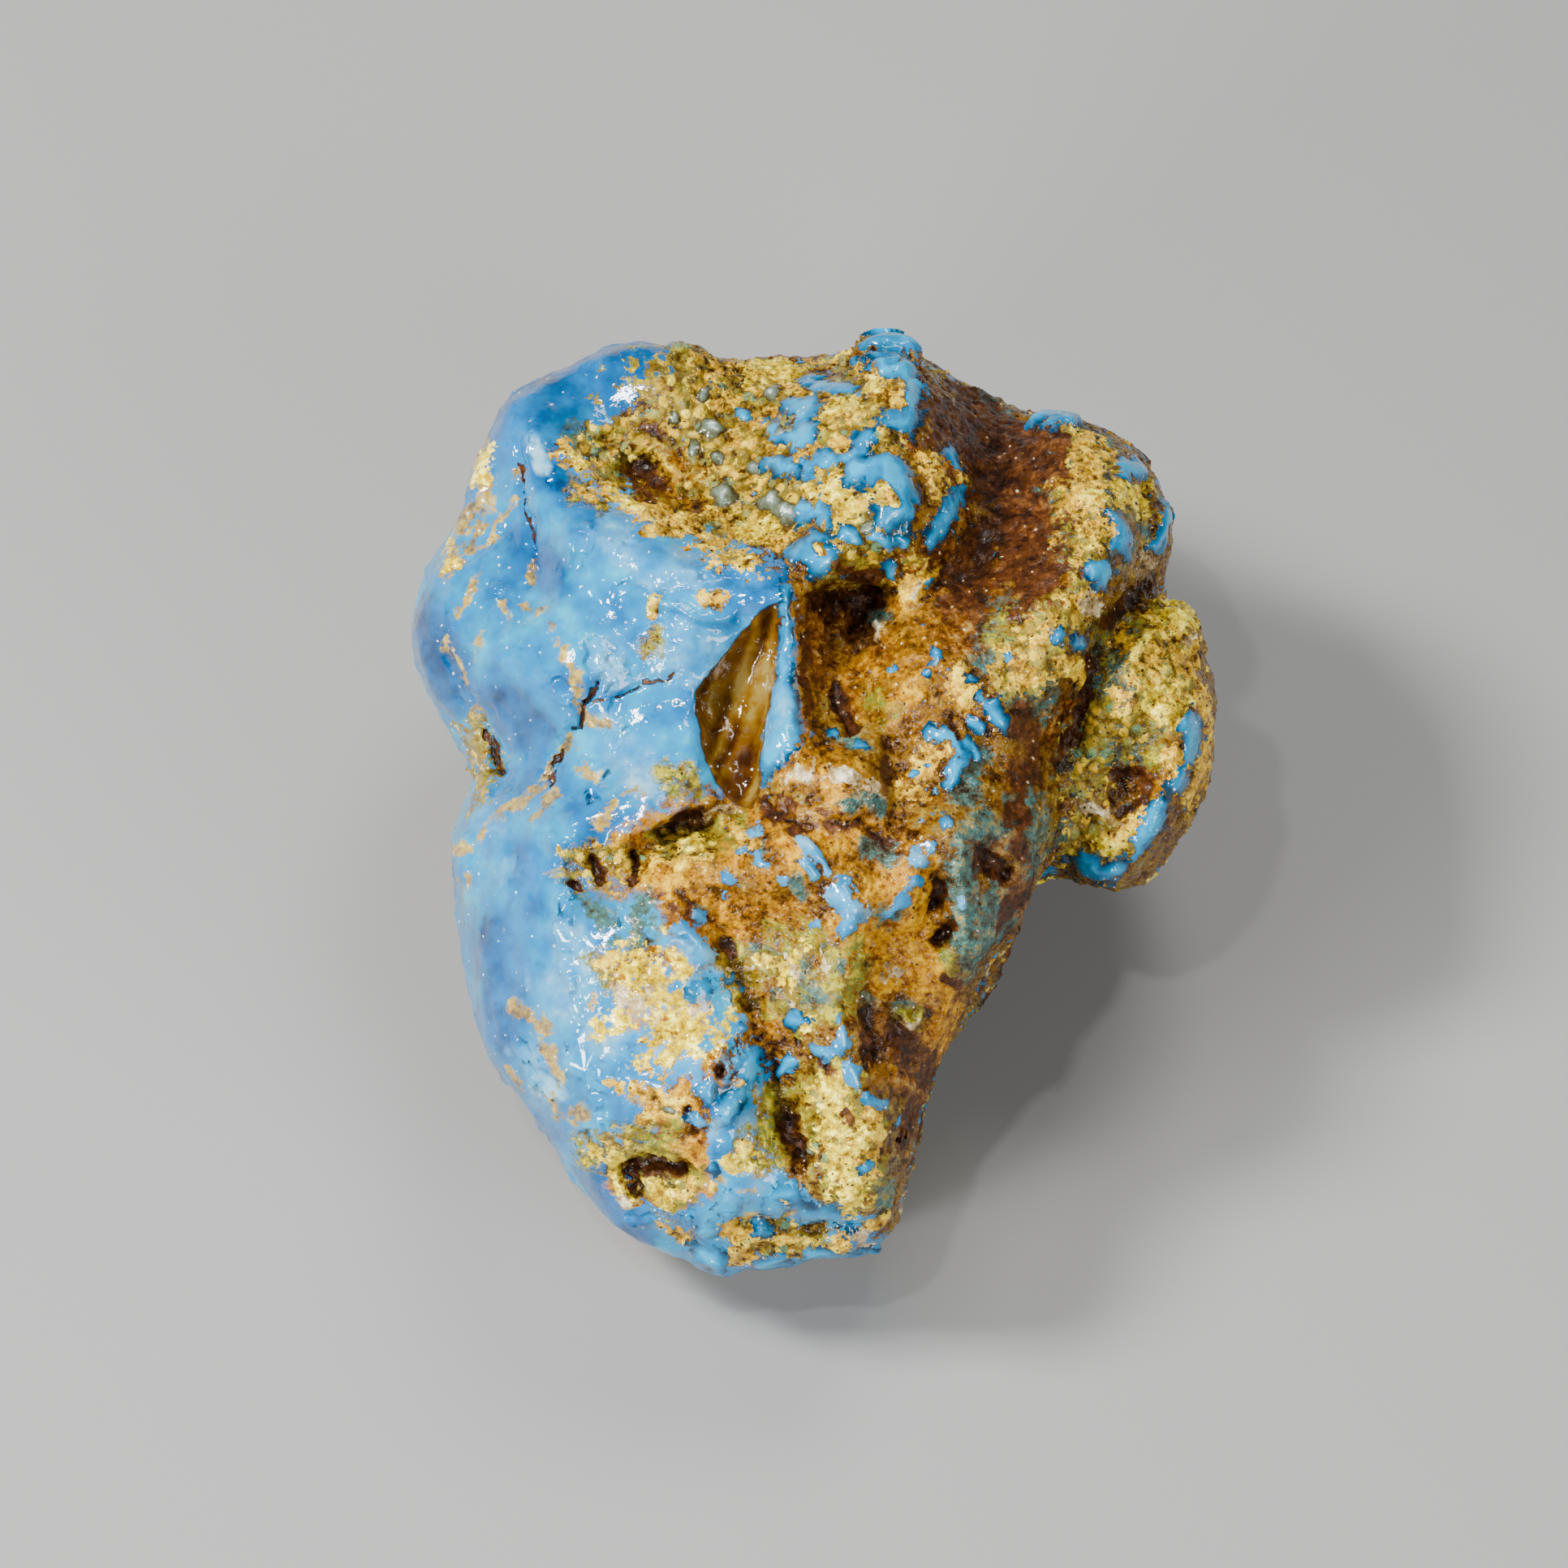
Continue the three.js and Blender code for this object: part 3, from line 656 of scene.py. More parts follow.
# Dark red-brown amber.
RUSSET = [
    (1.3, (0.6, 10.6), (2.4, 10), (3, 9)),
    (0.8, (0.2, 9), (0.4, 7.4)),
    (0.5, (1.6, 6.4), (2.4, 5)),
    (2.2, (8.4, 14.6), (10, 12.6), (9.4, 10.8)),
    (1.0, (8, 16.2), (8.8, 18.6), (7.6, 20.6)),
    (0.7, (4.6, 14.8), (5.8, 14.2)),
    (0.8, (7.1, -5.8), (7.6, -7.8)),
    (0.8, (3, -9.6), (3.8, -12), (3.4, -15)),
    (1.2, (6.4, -11.6), (7.6, -12.6), (7, -15)),
    (1.8, (5, -13.6), (6, -15.4), (6.6, -17.4)),
    (1.0, (11, -6), (12.6, -5), (12.4, -8)),
    (0.8, (10.4, -3.6), (11.6, -3)),
    (0.7, (10.6, -3.2), (11, -5)),
    (0.9, (15.2, 6), (14.4, 3.4)),
    (0.9, (18.6, 1.6), (19.8, 1)),
    (0.5, (-1.8, -17.4), (-1.6, -19)),
    (0.5, (-10.6, -21.4), (-8, -21.6)),
    (0.5, (-7.2, -19), (-7, -20.6)),
    (0.6, (5.2, -18.6), (5.8, -20.4)),
    (0.5, (-8.4, -6.6), (-7.4, -7.2)),
    (0.5, (-4.6, -9), (-4, -10.2)),
    (0.4, (5.6, 21.8), (6.8, 20.6)),
    (0.5, (3, -3.2), (5, -2.6)),
    (0.3, (0.8, -15.8)),
    (0.2, (-1.7, -13.8)),
    (0.6, (-1.4, -19.6), (-0.9, -21.2)),
    (0.6, (-10.6, -22), (-8.6, -22)),
    (0.25, (1.6, -19), (2.2, -18.8)),
    (0.25, (0.6, -18.2)),
    (0.2, (2, -22.2)),
    (0.9, (12.4, 2), (12.8, -0.6)),
]

# The brightest amber, gold to orange.
GLOW = [
    (1.8, (3.2, -7.4), (4.6, -8), (5.8, -9)),
    (1.0, (7.6, -9.2), (8, -11)),
    (0.9, (4, -5.4), (5, -4.6)),
    (0.8, (8.4, -12.8), (7.6, -14.4)),
    (0.6, (-9.4, -18), (-8.6, -19.6), (-9.4, -21)),
    (0.4, (-8.2, -17.4), (-7.4, -18.6)),
    (0.4, (-6.6, -21.6), (-6.4, -23.4)),
    (0.35, (-11.6, -22.4), (-12.2, -23.4)),
    (0.6, (6.6, -3.6), (6.2, -5.6), (5.4, -6.8)),
    (0.7, (5.6, -10.6), (4, -11)),
    (0.5, (6.6, -11.2), (6, -12.2)),
    (0.7, (-7.4, -2.8)),
    (0.5, (-11.6, -2.9), (-10.4, -2.2)),
    (0.6, (-4.8, -1.6), (-3.6, -1.2)),
    (0.8, (-10.4, -4.8), (-8, -5)),
    (0.6, (-5.6, -2.6), (-4.4, -3.4)),
    (0.6, (-1.6, -2.8), (-0.8, -4.4)),
    (0.5, (0.4, -2), (2.4, -2.6)),
    (0.5, (-5.8, -6.4), (-4.4, -7.8)),
    (0.5, (-8.8, -4.6), (-6.8, -4.2)),
    (0.5, (-12.2, -9.8), (-11.4, -10)),
    (0.4, (-8, -9.4), (-7.4, -10)),
    (0.6, (2.2, 8.6), (3.4, 8)),
    (0.8, (5.9, 6.4)),
    (0.5, (-0.6, 1.6), (0.8, 1.2), (1.6, 0.2)),
    (0.4, (5.4, 12.4)),
    (0.8, (-6.6, -12.6), (-7.4, -13.6)),
    (0.4, (-9.4, -12.2), (-8.4, -13.2)),
    (0.5, (9.2, 6.6), (9.4, 5.6)),
    (0.6, (4.9, 11.6), (6, 12.4), (7, 13)),
    (0.4, (4, 9.6)),
    (0.4, (8.2, 20.2)),
    (0.4, (-13.4, 20.1), (-12.6, 19.4)),
    (0.4, (23, 6.2)),
    (0.5, (6, -25), (6.2, -23)),
    (1.3, (4.6, -8.6), (5.5, -7.7), (6.2, -8.2)),
    (0.3, (-10.1, -19.2), (-8.6, -19.7)),
    (0.3, (-12.5, -9.8), (-11.6, -10.2), (-11.5, -10.8)),
    (0.4, (-10.8, -11.8), (-10.9, -12.8)),
    (0.35, (-9.6, -12.2), (-9.1, -12.8), (-10.2, -13.5)),
    (0.5, (-6.9, -13.4), (-7.5, -14.2)),
    (0.3, (-7.5, -16.9), (-8.2, -17.2)),
    (0.25, (-4.6, -8), (-4, -8.6)),
    (0.3, (0.6, -9.9), (1.2, -10.8)),
    (0.4, (6.3, -7.2), (6.6, -5.8)),
    (0.35, (-7.3, -20.8), (-6.7, -21.9), (-7.3, -23)),
]

# Dark umber on the saddle behind the swelling; in the hollows, pits and slots the same dark paint is painted
# shade.
UMBER_AND_SHADE = [
    (2.4, (8.6, 24.6), (10.4, 22.2), (12.2, 19.4), (12.9, 16), (12.8, 14)),
    (1.6, (11.4, 23), (13.2, 21.6), (14, 20.4)),
    (1.2, (13.2, 22.8), (14.6, 21.6)),
    (1.5, (10.2, 15.6), (9.4, 12.4)),
    # The slot at the top of the pit, darkened: painted shade.
    (0.6, (0.4, 11.8), (3.6, 11.8)),
    (0.3, (-0.6, 10), (-0.5, 7.4), (-0.2, 5.2)),
    (0.3, (1.3, 6.7), (1.8, 5.2), (2.6, 4)),
    (0.25, (4.6, 2.3), (4.3, 0.2)),
    (0.35, (0.2, 7.2)),
    (0.35, (1.6, 6.4), (2.4, 5)),
    (0.5, (1.9, 13.8), (3.6, 13.4)),
    (0.55, (-10.9, 20.9), (-9.8, 20.6)),
    (0.45, (-9.6, 19.9), (-9.2, 19.5)),
    (0.3, (-7, 18.4), (-6.6, 17.6)),
    (0.3, (-10.8, 19.6), (-10, 18.6)),
    (0.45, (-10, 22.8), (-9.4, 22.5)),
    (0.3, (-11, 21.8)),
    (0.35, (-9.2, 25.3), (-8.6, 24.9)),
    # The slot under the fold's overhanging lip, darkened: painted shadow.
    (0.32, (-8.3, -1.5), (-7.2, -1.1), (-6.3, -0.9)),
    (0.3, (-10.9, -3.2), (-10.6, -4.6)),
    (0.35, (-13.1, -3.8), (-12.7, -4.8)),
    (0.22, (-14.4, -5.1), (-13.9, -5.2)),
    (0.3, (-8.2, -6.3)),
    (0.3, (-7, -6.7), (-6.6, -7.1)),
    (0.3, (-5.2, -8.6), (-4.8, -9.2)),
    (0.32, (-2.9, -0.4), (-2.7, -1.2)),
    (0.4, (-2.1, -0.9), (-1.3, -0.5)),
    (0.35, (-1.4, -1.9), (-0.4, -1.7)),
    (0.35, (0.8, -1.4), (1.8, -1.8)),
    (0.3, (3.2, -2.2), (4.2, -2.3)),
    (0.25, (-1, -3.6)),
    (0.3, (20.6, 13.2), (19.2, 12.2), (18, 10.2)),
    (0.35, (17, 8.2), (16, 4.6), (15, 2)),
    (0.9, (12.4, 4.6), (13.4, 3.2), (13.2, 1.6)),
    (0.6, (12.6, -1.4), (12.6, -3.4)),
    (0.5, (12, -6), (11.4, -7.8)),
    (0.8, (10, -3.7), (11.4, -4.6)),
    (0.38, (7.3, -5.2), (7.2, -6.5)),
    (0.4, (7.4, -8.3), (8.2, -7.6)),
    (0.4, (3.5, -12.8), (3.6, -15.4)),
    (0.7, (4.8, -14.2), (5.8, -14.8)),
    (0.5, (6.6, -15.4), (6.9, -17)),
    (0.6, (5.8, -18.4), (5.6, -21)),
    (0.35, (-1.4, -18.8), (-1.2, -20.2)),
    (0.3, (-0.8, -20.6), (-0.7, -21.2)),
    (0.45, (-10.9, -22), (-9.6, -22.1), (-8.1, -22.2)),
    (0.35, (-10.9, -22.3), (-10.5, -23.1)),
    (0.4, (-5.3, -16)),
    (0.25, (-7.7, -18.4), (-7.2, -20.2)),
    (0.3, (-1.1, -14.2)),
    (0.35, (-3, -14.1)),
    (0.45, (0.6, -15.6), (1.1, -16)),
    (0.2, (0, -18.2)),
    (0.25, (2, -18.6), (2.5, -19)),
    (0.2, (1.6, -22.6)),
    (0.2, (3.4, -20.6)),
    (0.4, (18.6, 1.6), (20.4, 1.4), (20.2, -0.2), (18.8, -0.9)),
    (0.35, (8, -10.6), (9, -11.2)),
    (0.14, (-12.9, 7.2), (-13.5, 6.4), (-13.9, 5.4), (-14.5, 4.2)),
    (0.07, (-13.6, 5.6), (-12, 6.2), (-10.2, 7), (-8.6, 7.6)),
    (0.12, (-15.2, 2.8), (-15.8, 0.8)),
    (0.2, (-20.2, 4.1), (-19.3, 3.3), (-19, 1.8)),
    (0.08, (-18.3, 20.6), (-17.8, 18.4), (-17.2, 16.4), (-17, 14.8)),
    (0.12, (-2.7, -0.3), (-1.5, 0.4)),
    (0.14, (-2.4, -0.8), (-0.8, -0.5)),
    (0.14, (-2, -1.3), (-0.2, -1.4), (0.4, -1.2)),
    (0.12, (0.2, -0.5), (1.6, -0.9)),
    (0.12, (1.2, -1.4), (2.6, -1.9)),
    (0.5, (12.2, -0.8), (12.6, 1)),
    (0.6, (13.2, -5.2), (12.6, -6.6)),
]

# Grey-green amber.
TEAL = [
    (0.7, (-13.2, -6.2), (-12.4, -7.2)),
    (0.7, (-10.3, -7.4), (-9.8, -6)),
    (1.4, (-8.4, 25.2), (-7.8, 23.4)),
    (0.8, (-14.4, 22.2), (-13, 21.6), (-12.2, 19.6)),
    (0.6, (8.6, 26.2), (10.4, 25.2), (12.2, 24.2)),
    (0.8, (16.8, 23), (18.6, 22.5)),
    (2.4, (14.6, 17.4), (16.6, 20.6), (17.2, 17)),
    (1.6, (12, 10.6), (11.6, 8.6), (13.2, 6.6)),
    (1.4, (17.6, 5.8), (16.6, 1.8), (18.4, 4)),
    (1.6, (18.6, 9.6), (20, 8), (18, 7)),
    (1.4, (18.4, 4.4), (19.4, 3.4), (17.4, 3)),
    (0.7, (20.6, 6.4), (20.8, 4.4)),
    (0.7, (15.4, -2.4), (17.2, -3.2)),
    (0.8, (8.9, -2.4), (8.4, -4.6), (8.9, -6.6), (9.4, -8.8)),
    (0.8, (10.2, -0.8), (10.4, -2.6)),
    (1.3, (10.6, -8), (10.2, -9.4)),
    (0.8, (9.6, 2.4), (9.2, 0.4)),
    (0.8, (12.8, -1.4), (13.4, -4)),
    (0.6, (4.4, -3.1), (3.2, -3)),
    (0.7, (4.6, -6.6), (3.8, -6.8)),
    (0.5, (-4, -2), (-3.1, -3.8)),
    (0.6, (-1, -5.4)),
    (0.4, (-6.6, -6.8)),
    (0.5, (3, 3), (2.4, 3.2)),
    (0.4, (1, 3.7), (1.5, 3.5)),
    (0.6, (3.6, -0.4), (2.4, -0.2)),
    (0.5, (4.1, 10.9)),
    (0.6, (3.8, -22.6), (4.4, -24.4)),
    (0.5, (24.1, 5)),
    (0.6, (5.4, -12.2)),
    (0.5, (-3.6, -8.8), (-2.4, -9.3), (-2.1, -9.8)),
    (0.5, (-1.3, -9.3), (-0.6, -10.2)),
    (0.5, (-0.7, -10.6), (0, -11.6)),
    (0.4, (1.4, -9.9)),
    (0.4, (0.5, -8.5), (1, -8.9)),
    (0.5, (-4.6, -10.9)),
    (0.4, (1.3, -11.7)),
    (0.4, (-1.6, -12.4), (-2.4, -11.4)),
    (0.9, (8.4, -4.8), (9.1, -6.9), (8.9, -9.2)),
    (0.8, (10.2, -7.4), (10.7, -6.2)),
    (0.4, (3.4, -11.8)),
    (0.5, (-9.6, -20.4), (-10.4, -20.6)),
    (0.5, (-9, -23.2), (-8.2, -23)),
    (0.35, (-12.2, -8.6), (-11.6, -8.6)),
    (0.5, (-10.6, -8.4), (-9.4, -8.2)),
    (1.0, (12.8, -0.4), (13, -3)),
    (0.8, (11.6, -7.4), (12.4, -8)),
]

# Bright yellow-green crust.
OLIVE = [
    (1.8, (0.8, -16.4), (1.2, -19), (3.2, -19.6), (2, -22.6)),
    (0.9, (-2.4, -17.8), (-2, -20.4), (-3.6, -20.6)),
    (1.0, (-13.2, -21.2), (-11, -20.3), (-9, -20.1)),
    (1.1, (-9, -23.6), (-7.8, -22.8)),
    (0.6, (-8.6, 1.6), (-7.8, 0.6)),
    (0.5, (-9.6, 10.2), (-9.8, 8.6)),
    (0.7, (-13.6, -3.2), (-14.4, -4.4)),
    (0.6, (-13.2, -9.4), (-12, -11)),
    (0.9, (-8.8, -2.6), (-6.2, -2.2), (-4.6, -1.4)),
    (1.2, (15.6, 21.6), (15.8, 19), (15.6, 16.8)),
    (1.4, (12.2, 10.2), (14, 9.6), (12.4, 7.6)),
    (1.2, (19, 9.8), (21, 8.8)),
    (1.0, (20, 4.4), (20.2, 2.6)),
    (1.6, (20.6, 10), (21.6, 7.4)),
    (0.6, (-14.6, 19), (-12.8, 17.8)),
    (0.5, (-6.9, 0.6), (-7.8, 1.8)),
    (0.6, (5.2, -12.8), (6.2, -13)),
    (0.7, (3.9, 6), (4.6, 5.2)),
    (0.6, (-3.1, -9.4), (-1.7, -10.1)),
    (0.6, (0.1, -8.1), (0.9, -9.4), (1, -10.8)),
    (0.5, (-4.2, -11.8), (-3.4, -12.2)),
    (0.5, (-0.9, -11.4), (-0.2, -12.4), (-0.8, -13.6)),
    (0.7, (2.4, -9), (2.6, -10.6)),
    (0.6, (-2.9, -7.6), (-1.9, -8.6)),
    (0.5, (8, -9), (8.5, -10.2)),
    (0.9, (-3.9, -10.4), (-4.6, -9.6)),
    (0.7, (-2.2, -12.2)),
    (0.9, (1.4, -12.4), (2.2, -12)),
    (0.8, (-0.2, -8.6), (-1.6, -8.2)),
    (0.6, (-4.2, -20.8), (-3, -21.4)),
]

# Milky and lavender clouds in the blue skin, and one pale streak that is a painted highlight.
MILK_AND_HIGHLIGHT = [
    (1.4, (-12, 16.8), (-9.4, 14.8), (-6.8, 13.6)),
    # A pale streak laid on the frosty glints high on the left flank: painted highlight.
    (0.4, (-17, 22), (-16.2, 20.2)),
    (0.8, (-20.2, -0.8), (-18.4, -4)),
    (1.6, (-8.4, 10), (-7.2, 8.6)),
    (1.4, (-10, 1.6), (-12, 3)),
    (1.5, (-12, -12.4), (-12.8, -15), (-11, -14)),
    (1.2, (-16.4, -15.6), (-16, -17.4)),
    (2.0, (-8.4, -14.6), (-9.4, -13.4), (-7.6, -16)),
    (0.6, (-2.4, 3.6), (-1.8, 6.6)),
    (2.6, (-3.6, -2.6), (-4.8, -5.4), (-6.6, -7.4)),
    (0.6, (13, -1.2), (12.6, 0.6)),
    (2.4, (-0.5, -3.1), (1.6, -5), (2.3, -7.4)),
    (1.6, (6.8, -2.4), (6.1, -4.4)),
    (2.0, (2, -14.4), (3.4, -18)),
    (0.8, (-6.4, -20.2)),
    (1.4, (-3.8, -22.6), (-2.8, -20)),
    (1.2, (-12.4, 8.4)),
    (1.6, (-10.4, -16.4), (-8.6, -16.8)),
    (1.2, (-11.8, -11)),
    (1.4, (-15, -12), (-14.6, -9)),
    (0.9, (4.1, -6.8), (5.4, -5.9)),
    (0.7, (1.5, -12.6)),
    (0.7, (-4.4, -13.8)),
    (0.6, (8.7, -6.1)),
    (1.4, (-10.6, -14.4), (-9, -14.6)),
]

# Deeper azure along the top left rim and in the folds of the skin.
AZURE = [
    (3.4, (-18.5, 24), (-14.5, 26.4), (-11.2, 27), (-11, 25)),
    (1.0, (-16.5, 20.4), (-14.6, 18.4), (-12.8, 16.8)),
    (1.4, (-17.6, 15.6), (-15.6, 13.6)),
    (1.8, (-22.6, 9.4), (-22.4, 7), (-24, 11)),
    (1.6, (-17, 4), (-19, 6)),
    (1.4, (-1.6, 13.4), (-4.4, 12.4)),
    (1.2, (-12.4, -1.2), (-14.4, -4)),
    (1.6, (-12.6, -23), (-11, -26)),
    (1.0, (-17.6, -3.4), (-16.6, -6)),
    (1.6, (-19.4, -8), (-18.2, -11), (-18.6, -14)),
    (1.4, (-10.6, -18.6), (-6, -18.6)),
    (1.4, (4, 28), (6, 25.6)),
]

# The glassy chip: a leaf-shaped break where the brown amber shows, streaked lengthwise.
CHIP = [
    (-1.6, 12), (-3.05, 11.3), (-4.4, 10), (-5.6, 8.2), (-7.05, 6.4), (-6.95, 4.5), (-6.6, 2.8),
    (-5.8, 1.2), (-4.6, -0.4), (-3.6, -0.6), (-3.05, 0.6), (-3.05, 2.9), (-2.8, 4.5), (-2.45, 6.4),
    (-2.1, 8), (-1.8, 9.8),
]

# The lip of blue skin along the chip's right side.
CHIP_LIP = [
    (-1.9, 13.2), (-2, 11.6), (-2.3, 7), (-2.9, 4), (-3.1, 0.4), (-2.7, 1.1), (-1.7, 2.3), (-0.6, 3.6),
    (-0.8, 4.6), (-1.1, 6.9), (-1.35, 9), (-1.4, 11.4), (-1.3, 12.8),
]

